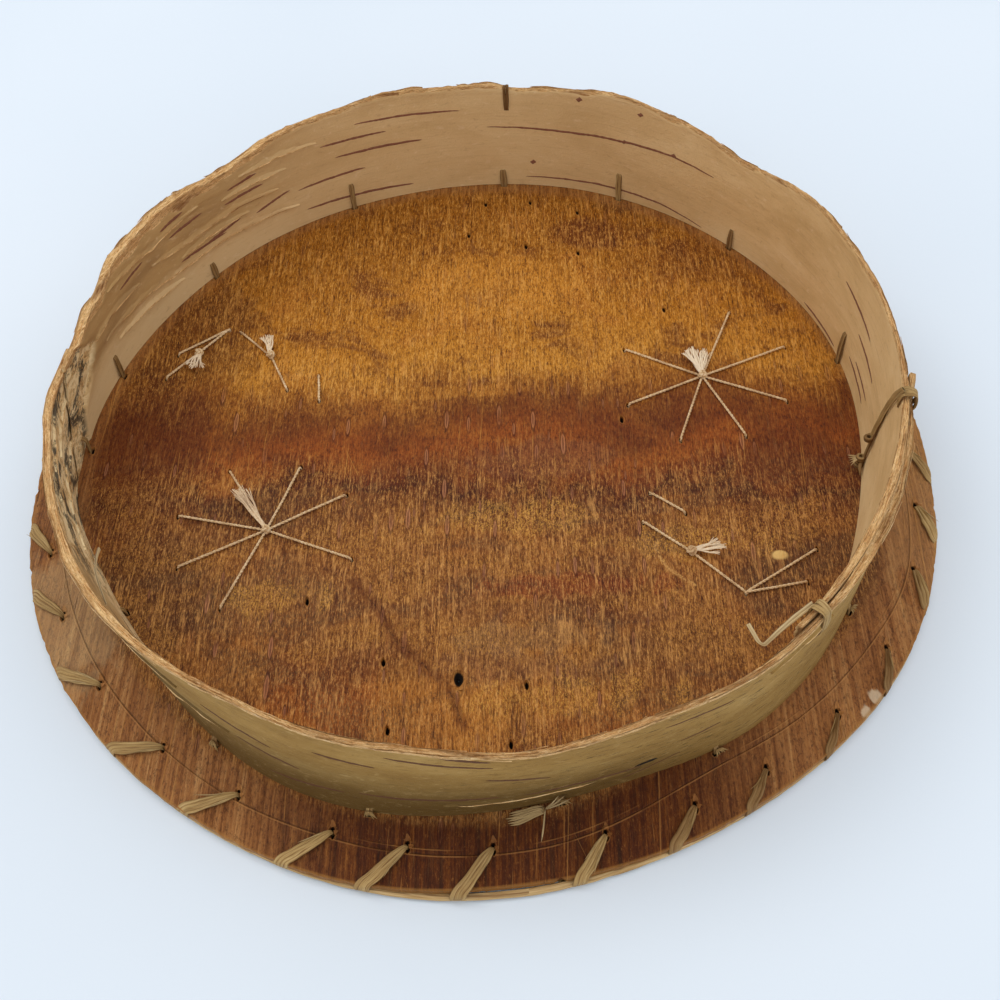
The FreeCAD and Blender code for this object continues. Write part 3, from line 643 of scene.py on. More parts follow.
def wall_face(deg, share, off):
    # a place on the bark at a share of the wall's height, off: how far out from its inner face
    low = WALL_RADIUS + swell(deg, FOOT_WAVES) + off
    high = WALL_RADIUS + 0.2 + swell(deg, TOP_WAVES) + 2.2 * bump(deg, 212, 18) + off
    lean = Vector((share * 2.0, -share * 0.9, FLOOR_TOP))
    return MIDDLE + lean + polar(low + (high - low) * share, deg)


def torn_away(z):
    # how far along the back strip its thick layers reach at a height, in mm
    line = ((0, 382.0), (9, 380.5), (13, 376.5), (16, 369.5), (22, 364.5), (26, 359.8), (31, 367.3),
            (37, 373.5))
    for (z0, u0), (z1, u1) in zip(line, line[1:]):
        if z <= z1:
            break
    return u0 + (u1 - u0) * max(0.0, z - z0) / (z1 - z0) + 1.1 * rough(z / 2.4, 7.0)


def walk(line, step):
    # points closer together along a line of corners, each in degrees and mm of height
    path = []
    for (d0, z0), (d1, z1) in zip(line, line[1:]):
        count = max(2, int(abs(d1 - d0) * 2.2 / step))
        path += [(d0 + (d1 - d0) * k / count, z0 + (z1 - z0) * k / count) for k in range(count)]
    return path


class BarkStrip:
    # a strip covers other angles at its foot than at its top; stand_off is how far out it
    # stands; its inner face is side 0, its outer one side 1
    ROWS = 40
    LOW_ROWS = 26
    LAYERS = 9

    def __init__(self, foot, top, stand_off, edge_height, seed, ridges, lap_side, thin_end,
                 frayed, swollen):
        self.lap_side, self.thin_end = lap_side, thin_end
        self.frayed, self.swollen = frayed, swollen
        self.foot, self.top = foot, top
        self.stand_off, self.edge_height = stand_off, edge_height
        self.seed, self.ridges = seed, ridges
        self.points, self.faces, self.strip = [], [], []
        self.marks = {"torn": [], "inside": [], "pore": [], "bare": []}

    def level(self, row):
        # the rows lie closer together near the torn edge
        if row <= self.LOW_ROWS:
            return 0.81 * row / self.LOW_ROWS
        return 0.81 + 0.19 * (row - self.LOW_ROWS) / (self.ROWS - self.LOW_ROWS)

    def worn(self, deg, down, side):
        # 1 where layers have come off below the torn edge
        return ease((self.frayed(deg, side) - down) / 0.7 + 0.5)

    def bared(self, u, z, side):
        # 1 where only a thin white layer is left at the end of the strip
        return ease((u - torn_away(z)) / 1.2 + 0.5) if side == 0 and self.thin_end else 0.0

    def spot(self, share, t, side, lift=0.0):
        # share of the length, share of the height; side 0 is the inner face
        at_foot = self.foot[0] + (self.foot[1] - self.foot[0]) * share
        at_top = self.top[0] + (self.top[1] - self.top[0]) * share
        height = self.edge_height(at_top)
        off = side * WALL_T
        foot = wall_face(at_foot, 0, self.stand_off(at_foot, 0) + off)
        top = wall_face(at_top, height / WALL_H, self.stand_off(at_top, 1) + off)
        top.z += height
        deg = at_foot + (at_top - at_foot) * t
        u = math.radians(deg) * WALL_RADIUS
        z = t * height
        lie = 0.10 * rough(u / 30, z / 18, self.seed) + 0.05 * rough(u / 14, z / 3.5, self.seed + 4)
        lie += self.ridges(deg, z, side) - 0.08 + lift
        if side == self.lap_side:
            # the facing sides of a lap press together at the torn edge
            lapped = max(bump(deg, 328, 17), bump(deg, 171, 9))
            lie += lapped * (0.35 * ease((z - height + 5) / 4) + 0.3 * self.worn(deg, height - z, side))
        lie += self.swollen(deg, side) * ease(1 - (height - z) / 5.0)
        lie -= 0.3 * self.worn(deg, height - z, side)
        if self.thin_end:
            lie -= 1.15 * self.bared(u, z, side)
            # it thins out over its last 9 mm, of 512
            thin = ease(1 - (1 - share) * 512 / 9)
            lie += 0.25 * thin if side == 1 else -0.78 * thin
        p = foot.lerp(top, t) + polar(1, deg) * (-1 if side == 0 else 1) * lie
        return p, u, z

    def find(self, deg, z, side, lift=0.0):
        # the same, from an angle and a height
        share = 0.5
        for _ in range(4):
            t = z / self.edge_height(self.top[0] + (self.top[1] - self.top[0]) * share)
            low = self.foot[0] * (1 - t) + self.top[0] * t
            high = self.foot[1] * (1 - t) + self.top[1] * t
            share = (deg - low) / (high - low)
        return self.spot(share, t, side, lift)

    def put(self, p, u, v, torn, inside, pore=0.0, bare=0.0):
        self.points.append(p)
        self.strip.append((u, v))
        for key, value in (("torn", torn), ("inside", inside), ("pore", pore), ("bare", bare)):
            self.marks[key].append(value)
        return len(self.points) - 1

    def net(self):
        rows, layers, seed = self.ROWS, self.LAYERS, self.seed
        wide = math.radians(self.foot[1] - self.foot[0]) * WALL_RADIUS
        columns = int(wide / 1.15)
        index = {}
        for i in range(columns + 1):
            share = i / columns
            for side in (0, 1):
                for j in range(rows + 1):
                    tear = 0.0
                    if i in (0, columns):
                        tear = 0.8 + 2.6 * rough(j * 0.14, seed, side * 0.3)
                        tear += 0.9 * rough(j * 0.9, seed, side + 3)
                        tear = max(0.0, tear) / wide * (1 if i == 0 else -1)
                    t = self.level(j)
                    p, u, z = self.spot(share + tear, t, side)
                    down = z / t - z if j else 40.0
                    torn = self.worn(math.degrees(u / WALL_RADIUS), down, side) if j < rows else 1.0
                    if j == rows:
                        p.z += 0.4 * rough(u / 2.2, seed, side) + 0.5 * rough(u / 8, seed + 5, side) - 0.5
                    bare, inside = self.bared(u, z, side), 1.0 - side
                    if i == columns and self.thin_end:
                        bare = inside = 1.0
                    index[i, side, j] = self.put(p, u, z + side * 60, torn, inside, 0.0, bare)
            a = self.points[index[i, 0, rows]]
            b = self.points[index[i, 1, rows]]
            for k in range(1, layers):
                rise = 0.4 * rough(u / 1.8, k * 2.7, seed + 11) + 0.55 * rough(u / 7, k * 1.9, seed + 13)
                rise += 0.75 * rough(u / 24, k * 5.3, seed + 17)
                p = a.lerp(b, k / layers)
                p.z += rise * 0.9 - 0.15
                v = z + k / layers * 3.4
                index[i, "edge", k] = self.put(p, u, v, 1.0, 0.5, 0.0, self.bared(u, z, 0))

        def ring(i):
            keys = [(i, 0, j) for j in range(rows + 1)]
            keys += [(i, "edge", k) for k in range(1, layers)]
            return keys + [(i, 1, j) for j in range(rows, -1, -1)]

        for i in range(columns):
            one, two = ring(i), ring(i + 1)
            count = len(one)
            for k in range(count):
                n = (k + 1) % count
                self.faces.append((index[one[k]], index[one[n]], index[two[n]], index[two[k]]))
        for i in (0, columns):
            keys = [index[k] for k in ring(i)]
            last = len(keys) - 1
            for k in range(rows):
                quad = (keys[last - k], keys[last - 1 - k], keys[k + 1], keys[k])
                self.faces.append(quad if i == 0 else quad[::-1])
            top = tuple(keys[rows:rows + layers + 1])
            self.faces.append(top[::-1] if i == 0 else top)

    def join(self, rows, side, folded=False):
        for one, two in zip(rows, rows[1:]):
            for k in range(len(one) - 1):
                quad = (one[k], one[k + 1], two[k + 1], two[k])
                if folded:
                    quad = (one[k], two[k], two[k + 1], one[k + 1])
                self.faces.append(quad if side == 0 else quad[::-1])

    def pore(self, line, side, thick, tone=1.0):
        # a breathing pore of the bark: a long thin lens standing a hair proud
        path = walk(line, 0.9) + [line[-1]]
        rows = []
        for k, (deg, z) in enumerate(path):
            share = k / (len(path) - 1)
            fat = max(0.0, 4 * share * (1 - share)) ** 0.4
            half = thick * 0.85 * fat * (1 + 0.45 * rough(deg * 1.9, z, 2.0)) + 0.02
            z += 0.22 * rough(deg / 2.2, z, 6.0)
            row = []
            for step, lift in ((-1, -0.12), (-0.5, 0.08), (0.5, 0.08), (1, -0.12)):
                p, u, v = self.find(deg, z + half * step, side, lift)
                row.append(self.put(p, u, v + side * 60, 0.0, 1.0 - side, tone))
            rows.append(row)
        self.join(rows, side)

    def peel(self, line, wide, side, seed):
        # a sheet of bark come loose along its lower edge
        path = walk(line, 0.8)
        rows = []
        for k, (deg, z) in enumerate(path):
            share = k / (len(path) - 1)
            fat = max(0.05, 4 * share * (1 - share)) ** 0.5
            low = wide * fat * (0.7 + 0.5 * rough(deg / 1.7, seed) + 0.3 * rough(deg / 0.5, seed + 2))
            away = (0.75 + 0.5 * rough(deg / 3.0, seed + 5)) * fat
            row = []
            for part, lift, torn in ((1.0, -0.1, 0.0), (0.45, 0.2, 0.0), (0.0, 0.5, 0.2),
                                     (-0.45, away, 1.0), (-0.42, away - 0.22, 1.0), (0.2, -0.1, 1.0)):
                p, u, v = self.find(deg, z + low * part, side, lift)
                row.append(self.put(p, u, v, torn, 1.0 - side))
            rows.append(row)
        self.join(rows, side, True)

    def splinter(self, start, length, side, seed):
        # a sliver of bark peeling off the torn edge
        steps = max(4, int(length / 1.2))
        rows = []
        for k in range(steps + 1):
            part = k / steps
            deg = start + math.degrees(length * part / WALL_RADIUS)
            share = (deg - self.top[0]) / (self.top[1] - self.top[0])
            p, u, z = self.spot(share, 1.0, side)
            out = polar(1, deg) * (-1 if side == 0 else 1)
            wide = 0.55 * (1 - part) ** 0.5 + 0.08
            away = 0.15 + 0.9 * part * part * abs(rough(seed, 4.0))
            low = -0.9 + 0.8 * rough(seed, part * 2) + 0.3 * part
            row = []
            for w, o in ((-wide, 0.0), (0.0, 0.12), (wide, 0.0)):
                q = p + out * (away + o) + Vector((0, 0, low + w))
                row.append(self.put(q, u, z + w + seed, 1.0, 0.5))
            rows.append(row)
        self.join(rows, side)

    def scatter(self, pores, span, high, side, run, thick, splinters, splinter_span, longest):
        # small pores strewn over a face, and splinters along the torn edge
        for _ in range(pores):
            deg, z = pick.uniform(*span), pick.uniform(3, high)
            line = ((deg, z), (deg + pick.uniform(*run), z + pick.uniform(-1, 1)))
            self.pore(line, side, pick.uniform(0.6, thick), pick.uniform(0.5, 0.9))
        for _ in range(splinters):
            self.splinter(pick.uniform(*splinter_span), pick.uniform(4, longest), pick.choice((0, 1)),
                          pick.uniform(0, 50))

    def piece(self, name, node, slot, material):
        make_piece(name, self.points, self.faces, material, [node], self.marks, self.strip)


def inner_ridges(deg, z, side):
    # at the left end the face has lifted in sheets, one edge above the other
    if side == 1:
        return 0.1 * rough(deg * 1.2, z / 3.5, 2.0)
    left = ease((deg - 112) / 12)
    lift = 0.0
    for start, climb, deep in ((10.0, 0.20, 0.45), (21.0, 0.16, 0.35), (32.0, 0.05, 0.3)):
        line = start + climb * (deg - 116) + 1.6 * rough(deg / 6, start)
        lift += deep * ease((z - line) / 1.2)
    return left * lift


def outer_ridges(deg, z, side):
    if side == 0:
        return 0.12 * rough(deg * 1.1, z / 3.0, 6.0)
    chip = bump(deg, 280, 17) * ease((z - 10.5 - 1.5 * rough(deg / 4, 1.0)) / 1.2)
    return 0.3 * chip + 0.1 * rough(deg * 0.9, z / 3.0, 6.0)


def back_frayed(deg, side):
    deep = 1.1 + 0.8 * rough(deg / 2.5, side * 5.0, 3.0) + 0.5 * rough(deg / 0.8, side * 5.0, 6.0)
    if side == 0:
        deep += (3.6 + 2.2 * rough(deg / 4, 12.0)) * bump(deg, 146, 24)
        deep += 1.6 * max(0.0, rough(deg / 5, 14.0))
    return deep


def front_frayed(deg, side):
    deep = 1.3 + 0.9 * rough(deg / 2.5, side * 5.0, 23.0) + 0.5 * rough(deg / 0.8, side * 5.0, 26.0)
    if side == 1:
        return deep + 1.6 * bump(deg, 305, 5) + 1.5 * max(0.0, rough(deg / 4, 33.0))
    return deep + 1.2 * bump(deg, 198, 14) + 1.6 * bump(deg, 174, 9)


def clear_of_ties(deg):
    # a tie pinches the edge together
    return 1 - max(bump(deg % 360, 344.4, 2.2), bump(deg % 360, 309.3, 2.2), bump(deg, 79, 1.6))


def back_swollen(deg, side):
    open_up = 0.5 + 0.35 * rough(deg / 5, side * 3.0, 8.0)
    wide = 0.25 + 0.7 * bump(deg, 140, 26) + 0.5 * bump(deg, -32, 16)
    return wide * open_up * clear_of_ties(deg) * (1.3 if side == 0 else 0.5 * (deg > 0))


def front_swollen(deg, side):
    open_up = 0.7 + 0.35 * rough(deg / 5, side * 3.0, 18.0)
    if side == 0:
        return (0.5 * bump(deg, 212, 24) + 0.9 * bump(deg, 179, 7)) * open_up
    return (0.35 + 1.2 * bump(deg, 205, 26) + 1.3 * bump(deg, 328, 15)) * open_up * clear_of_ties(deg)


def wall_material(name, inner, outer, pore_in, pore_out, dirty):
    paint = Paint(name)
    flat = paint.along()
    inside = paint.attribute("inside").step(0.5, 0.75)
    colour = paint.blend(inside, outer(paint, flat), inner(paint, flat))
    speck = paint.grain(flat, (0.9, 1.6), 5.0, 0.7, 0.4)
    mark = paint.blend(inside, pore_out, pore_in)
    mark.stain(speck, 0.35, 0.65, 0.4, (92, 58, 40))
    # pores marked above 1 are open: painted black, for the shade inside the hole
    mark = paint.blend(paint.attribute("pore").step(1.2, 1.6), mark, (26, 20, 16))
    colour = paint.blend(paint.attribute("pore").step(0.0, 1.0), colour, mark)
    fibre = paint.grain(flat, (0.16, 4.2), 4.0, 0.65, 0.3)
    worn = paint.ramp(fibre, (
        (0.30, (104, 62, 32)), (0.40, (186, 136, 80)), (0.54, (226, 184, 124)),
        (0.74, (246, 216, 166))))
    crumb = paint.grain(flat, (0.8, 1.6), 5.0, 0.75, 0.4, shift=(6, 2, 0))
    worn.stain(crumb, 0.48, 0.36, 0.6, (118, 80, 42))
    worn.stain(crumb, 0.52, 0.66, 0.5, (252, 226, 184))
    tone = paint.grain(flat, (0.045, 0.1), 3.0, 0.6, shift=(4, 4, 0))
    worn.stain(tone, 0.54, 0.70, dirty, (120, 74, 38))
    colour = paint.blend(paint.attribute("torn").step(0.35, 0.65), colour, worn)
    return paint.finish(colour, speck.step(0.3, 0.7, 0.62, 0.82), fibre * 0.8 + speck, 0.22)


def tan_face(paint, flat):
    cloud = paint.grain(flat, (0.02, 0.05), 4.0, 0.6, 0.5)
    colour = paint.ramp(cloud, (
        (0.30, (208, 170, 114)), (0.50, (226, 190, 134)), (0.70, (238, 206, 152))))
    lines = paint.grain(flat, (0.05, 1.5), 4.0, 0.65, 0.2)
    colour.stain(lines, 0.52, 0.75, 0.35, (164, 120, 84))
    colour.stain(lines, 0.45, 0.25, 0.3, (236, 208, 166))
    u = flat.axis("X")
    stain = paint.grain(flat, (0.03, 0.12), 4.0, 0.6, 0.7, shift=(5, 0, 0))
    line = stain * 14.0 + flat.axis("Y")
    olive = paint.ramp(stain, ((0.35, (138, 98, 44)), (0.6, (186, 146, 84))))
    colour.wash(u.step(236.0, 300.0) * line.step(20.0, 27.0), 0.85, olive)
    colour.wash(u.step(236.0, 320.0) * line.step(22.0, 14.0), 0.75, (252, 224, 170))
    colour.stain(u, 60.0, 160.0, 0.4, (196, 162, 116))
    smudge = paint.grain(flat, (0.25, 0.5), 6.0, 0.75, 0.6, shift=(1, 2, 0))
    colour.stain(smudge, 0.44, 0.30, 0.35, (160, 116, 78))
    colour.stain(smudge, 0.55, 0.70, 0.3, (244, 218, 180))
    specks = paint.grain(flat, (0.5, 0.8), 5.0, 0.7, shift=(9, 0, 0)).step(0.66, 0.74)
    return colour.wash(specks, 0.5, (120, 96, 80))


def brown_face(paint, flat):
    lines = paint.grain(flat, (0.06, 1.2), 5.0, 0.7, 0.3, shift=(2, 4, 0))
    return paint.ramp(lines, (
        (0.28, (104, 72, 44)), (0.48, (152, 114, 72)), (0.66, (182, 144, 98))))


def olive_face(paint, flat):
    cloud = paint.grain(flat, (0.02, 0.08), 4.0, 0.6, 0.5, shift=(3, 1, 0))
    colour = paint.ramp(cloud, (
        (0.30, (152, 114, 56)), (0.50, (170, 132, 70)), (0.70, (184, 148, 86))))
    lines = paint.grain(flat, (0.045, 1.7), 5.0, 0.7, 0.3, shift=(1, 7, 0))
    colour.stain(lines, 0.56, 0.72, 0.5, (118, 84, 46))
    colour.stain(lines, 0.42, 0.25, 0.35, (196, 160, 100))
    u = flat.axis("X")
    # painted shade: the outer face darkens towards its foot, where it meets the flange, less so towards the
    # right end
    colour.wash(flat.axis("Y").step(98.0, 66.0) * u.step(600.0, 670.0, 1.0, 0.3), 0.8, (84, 60, 22))
    # short dark cracks, thick towards the foot
    cracks = paint.grain(flat, (0.16, 1.3), 5.0, 0.75, 0.3, shift=(7, 3, 0))
    colour.wash(cracks.step(0.56, 0.62) * u.step(560.0, 640.0, 0.3, 1.0), 0.8, (50, 34, 20))
    smudge = paint.grain(flat, (0.25, 0.5), 6.0, 0.75, 0.6, shift=(1, 2, 0))
    colour.stain(smudge, 0.46, 0.32, 0.4, (112, 80, 36))
    return colour.stain(smudge, 0.54, 0.70, 0.35, (212, 180, 122))


def birch_white(paint, flat):
    # weathered outer bark: chalky cream and tan, grey streaks, black where it is rotten
    blotch = paint.grain(flat, (0.12, 0.16), 5.0, 0.75, 0.9, shift=(8, 2, 0))
    fine = paint.grain(flat, (0.5, 0.8), 5.0, 0.75, 0.6, shift=(2, 6, 0))
    colour = paint.ramp(blotch, (
        (0.34, (158, 114, 60)), (0.42, (218, 180, 122)), (0.54, (246, 222, 172))))
    colour.stain(fine * 0.8 + blotch * 0.4, 0.58, 0.48, 0.6, (126, 98, 66))
    rot = paint.grain(flat, (0.08, 0.09), 3.0, 0.6, 0.6, shift=(3, 5, 0))
    return colour.stain(fine * -0.6 + rot, 0.19, 0.31, 0.88, (46, 42, 40))


def birch_face(paint, flat):
    # the left end of the front strip, turned inwards
    here = flat.axis("X").step(470.0, 440.0)
    return paint.blend(here, tan_face(paint, flat), birch_white(paint, flat))


def lapped_face(paint, flat):
    # the inner face of the back strip, its left end down to a white layer
    return paint.blend(paint.attribute("bare"), tan_face(paint, flat), birch_white(paint, flat))


back_strip = BarkStrip((-52.0, 181.0), (-55.0, 173.0), no_stand_off, inner_edge_height, 1.0, inner_ridges,
                       1, True, back_frayed, back_swollen)
back_strip.net()
# the breathing pores that stand out: how thick, and their corners in degrees and height
for thick, line in (
        (0.7, ((105.2, 36), (87.5, 34))), (0.8, ((111.5, 31), (100, 30))),
        (0.9, ((109.2, 24.5), (94, 23.5))),
        (0.8, ((83, 26.5), (70.8, 26), (59.5, 27), (50.5, 28), (42.5, 27))),
        (0.7, ((76.2, 4), (63, 4.5), (52, 4), (43.5, 1.5))), (0.9, ((115.5, 6.5), (96, 4.5))),
        (0.8, ((116.5, 16.5), (104.2, 16.5))), (1.0, ((11.5, 30.5), (1, 26))),
        (0.9, ((4.8, 20.5), (-4, 18.5))),
        (0.9, ((5.5, 8), (-3, 6))), (0.8, ((3.2, 11), (-4, 10))), (0.8, ((20, 2.5), (10.2, 1.5))),
        (0.9, ((129.2, 32), (123.2, 32.5))), (0.9, ((130.2, 27), (122.5, 27))),
        (1.0, ((143.2, 35.5), (138, 36))),
        (0.9, ((141.8, 30), (134.5, 30))), (0.9, ((135.5, 16), (127.8, 17.5))),
        (0.8, ((124.8, 16), (118, 18.5))),
        (0.9, ((154.5, 30.5), (148.2, 31))), (0.9, ((140.8, 17), (131, 15.5)))):
    back_strip.pore(line, 0, thick)
for deg, z in ((59.5, 27), (50.5, 28.3), (57.2, 40.5), (67.8, 40.8), (75, 11)):
    back_strip.pore(((deg - 0.55, z), (deg + 0.55, z)), 0, 1.7)
# sheets that have come loose: how wide, and along which line
for n, (wide, line) in enumerate((
        (3.2, ((116.8, 10.5), (130.2, 13.5), (141.2, 14.5), (153.5, 19), (161.2, 20))),
        (2.6, ((120, 21.5), (128, 23.5), (139, 23), (147, 26))),
        (2.2, ((126, 18.5), (134, 19.5), (141, 18.5))),
        (2.4, ((141, 9.5), (149, 12), (158, 13.5))), (2.2, ((135, 34), (146, 33), (158, 36.5))),
        (2.0, ((112, 33.5), (119, 35.5), (127, 35))), (2.4, ((150, 24.5), (158, 27), (165, 26))),
        (1.8, ((118, 28.5), (125, 30), (131, 29.5))))):
    back_strip.peel(line, wide, 0, n * 7.0)
pick = random.Random(11)
back_strip.scatter(46, (-46, 140), 37, 1, (3, 15), 1.2, 70, (-50, 160), 15)
back_strip.piece("back_wall_strip", "wall_inner_strip", "back_wall_bark", wall_material(
    "tan_birch_bark", lapped_face, brown_face, (142, 92, 70), (98, 66, 42), 0.7))

front_strip = BarkStrip((165.0, 348.6), (168.0, 348.6), outer_stand_off, outer_edge_height, 20.0,
                        outer_ridges, 0, False, front_frayed, front_swollen)
front_strip.net()
for thick, line in (
        (0.9, ((267, 27), (274.2, 23.5))), (0.9, ((256, 39), (267.8, 35.5))),
        (1.0, ((252.2, 12.5), (268.5, 12.5))),
        (1.5, ((261.2, 43.2), (267.5, 39.5))), (0.9, ((232.2, 29.5), (241.8, 25))),
        (0.8, ((236.5, 21), (245.2, 18))),
        (0.8, ((247.5, 32.5), (254.8, 31.5))), (0.9, ((240.5, 8), (250.5, 11))),
        (0.9, ((268.5, 10), (273.2, 11.5), (277.5, 12.5), (285.5, 12))), (0.7, ((286.8, 37), (295.5, 35))),
        (0.7, ((289.8, 21.5), (294.8, 22.5))), (0.6, ((283.2, 4.5), (290.5, 11.5)))):
    front_strip.pore(line, 1, thick)
# an open pore, painted black for the shade inside it
front_strip.pore(((284.6, 13), (287.4, 14)), 1, 1.6, 2.0)
for n, (wide, line) in enumerate((
        (2.4, ((262, 8.5), (270, 9.5), (277, 11), (284, 10.5))), (1.6, ((222, 20), (229, 22), (236, 20.5))),
        (1.4, ((214, 30), (222, 31.5), (229, 30.5))), (1.5, ((300, 38.5), (305, 40), (311, 38.5))))):
    front_strip.peel(line, wide, 1, n * 5.0 + 3)
for n, (wide, line) in enumerate((
        (2.2, ((172, 25), (178, 28), (186, 27))), (2.0, ((170, 12), (177, 14), (184, 12))),
        (2.0, ((180, 36), (188, 37.5), (197, 36))), (1.8, ((184, 19), (192, 21), (200, 19))))):
    front_strip.peel(line, wide, 0, n * 5.0 + 40)
front_strip.scatter(26, (202, 332), 36, 0, (2, 9), 1.1, 80, (192, 340), 17)
front_strip.piece("front_wall_strip", "wall_outer_strip", "front_wall_bark", wall_material(
    "olive_birch_bark", birch_face, olive_face, (96, 70, 52), (104, 68, 44), 0.35))

# ---- stitches at the foot of the wall ----------------------------------------------
# The wall stands in short stitches of split spruce root: each goes through the bark,
# down the inner face, under the floor and up outside. A root splits into fibres.
BACK_STITCHES = (
    (8.0, 13.0), (37.5, 8.5), (59.5, 12.0), (80.0, 7.0),
    (107.0, 11.0), (135.0, 6.5), (160.0, 10.0), (175.0, 6.0),
)
FRONT_STITCHES = ((206.0, 2.6), (231.0, 2.6), (253.0, 2.6), (276.0, 2.6), (296.0, 2.6), (323.0, 2.6))
UP = Vector((0, 0, 1))


def heading(path, i):
    return (path[min(i + 1, len(path) - 1)] - path[max(i - 1, 0)]).normalized()


def sleeve(faces, first, rings, sides, closed=False, turned=False):
    # faces between rings of points, and a cap at each end of an open one
    for i in range(rings if closed else rings - 1):
        a, b = first + i * sides, first + (i + 1) % rings * sides
        for k in range(sides):
            n = (k + 1) % sides
            faces.append((a + k, b + k, b + n, a + n) if turned else (a + k, a + n, b + n, b + k))
    if not closed:
        for start, back in ((first, not turned), (first + (rings - 1) * sides, turned)):
            cap = [start + k for k in range(sides)]
            faces.append(cap[::-1] if back else cap)


def resample(sections, step):
    # sections: middle, half the width, half the thickness, as vectors
    out = []
    for one, two in zip(sections, sections[1:]):
        count = max(1, round((two[0] - one[0]).length / step))
        for k in range(count):
            out.append(tuple(a.lerp(b, k / count) for a, b in zip(one, two)))
    return out + [sections[-1]]


def soften(sections, passes, closed=False):
    for _ in range(passes):
        eased = []
        for i, section in enumerate(sections):
            if not closed and i in (0, len(sections) - 1):
                eased.append(section)
                continue
            after = sections[(i + 1) % len(sections)]
            eased.append(tuple((a + b * 2 + c) / 4 for a, b, c in zip(sections[i - 1], section, after)))
        sections = eased
    return sections


class Root:
    # strands of split root that belong to one piece
    def __init__(self):
        self.points, self.faces, self.strip = [], [], []
        self.marks = {"side": [], "tone": []}

    def strand(self, sections, across, half, thick, seed, tone, closed=False, points=(0, 0)):
        # one fibre of the strip; points: how long it tapers at each end, in sections
        sides = 8
        first = len(self.points)
        run = 0.0
        last = len(sections) - 1
        for i, (c, w, t) in enumerate(sections):
            if i:
                run += (c - sections[i - 1][0]).length
            slim = 1.0
            for taper, away in zip(points, (i, last - i)):
                if taper:
                    slim *= min(1.0, 0.12 + away / taper)
            bend = rough(run / 5.0, seed) if not closed else math.sin(run / 4.0 + seed * 7)
            place = across + 0.14 * bend
            wide = half * slim * (1 + 0.25 * rough(run / 3.0, seed, 5.0))
            deep = thick * slim * (1 + 0.2 * rough(run / 2.0, seed, 9.0))
            for k in range(sides):
                a = 2 * math.pi * k / sides
                x = math.cos(a)
                y = math.copysign(abs(math.sin(a)) ** 0.7, math.sin(a))
                self.points.append(c + w * (place + wide * x) + t * (deep * y))
                self.strip.append((run, seed * 13 + a * 0.6))
                self.marks["side"].append(x * x)
                self.marks["tone"].append(tone)
        sleeve(self.faces, first, len(sections), sides, closed, True)

    def split(self, sections, count, seed, tone, closed=False, points=(0, 0), spread=1.0):
        # a flat strip that has opened into fibres side by side
        # the core under the fibres is darker: painted shade showing in the gaps between them
        self.strand(sections, 0.0, 0.8 * spread, 0.5, seed + 0.5, tone - 0.35, closed, points)
        for j in range(count):
            across = (-1 + (2 * j + 1) / count) * 0.86 * spread
            part = tone + 0.25 * rough(seed * 3.7, j * 1.9)
            self.strand(sections, across, 1.02 * spread / count, 0.8, seed + j * 1.37, part, closed, points)

    def piece(self, name, nodes):
        make_piece(name, self.points, self.faces, root_paint, nodes, self.marks, self.strip)


def root_material():
    paint = Paint("split_spruce_root")
    flat = paint.along()
    long = paint.grain(flat, (0.09, 1.6), 4.0, 0.65, 0.2)
    fine = paint.grain(flat, (0.25, 6.0), 3.0, 0.6)
    colour = paint.ramp(long, (
        (0.25, (122, 88, 46)), (0.42, (166, 132, 80)), (0.58, (190, 158, 104)),
        (0.78, (214, 186, 136))))
    colour.stain(fine, 0.50, 0.75, 0.5, (126, 92, 50))
    tone = paint.attribute("tone")
    colour.stain(tone, 0.5, -0.2, 0.85, (104, 66, 32))
    colour.stain(tone, 0.5, 1.2, 0.6, (226, 204, 160))
    # painted shade: each fibre darkens towards its edges, where it meets the next
    crease = paint.attribute("side").step(0.45, 1.0, 0.0, 0.75)
    colour = paint.blend(crease, colour, (88, 58, 30))
    height = fine * 0.7 + long
    return paint.finish(colour, long.step(0.3, 0.7, 0.5, 0.72), height, 0.22)


root_paint = root_material()
ROOT_GAP = 0.15
RING_T = 0.8
UNDER = FLOOR_UNDER - FLOOR_TOP - ROOT_GAP


def layers_at(deg, share):
    # stand-off of the innermost and the outermost bark face at an angle
    turn = deg % 360
    inner_here = turn < 181 or turn > 305
    inside = 0.0 if inner_here else outer_stand_off(turn, share)
    outside = (outer_stand_off(turn, share) if 164 < turn < 349.6 else 0.0) + WALL_T
    return inside, outside


def face_reach(deg, height, off):
    share = height / WALL_H
    p = wall_face(deg, share, off) - MIDDLE
    return math.hypot(p.x, p.y)


def ring_reach(deg, low, high):
    near, far = [], []
    for height in (max(low, 0), min(high, WALL_H)):
        inside, outside = layers_at(deg, height / WALL_H)
        for turn in (-2.0, 0, 2.0):
            near.append(face_reach(deg + turn, height, inside))
            far.append(face_reach(deg + turn, height, outside))
    return min(near) - ROOT_GAP, max(far) + ROOT_GAP


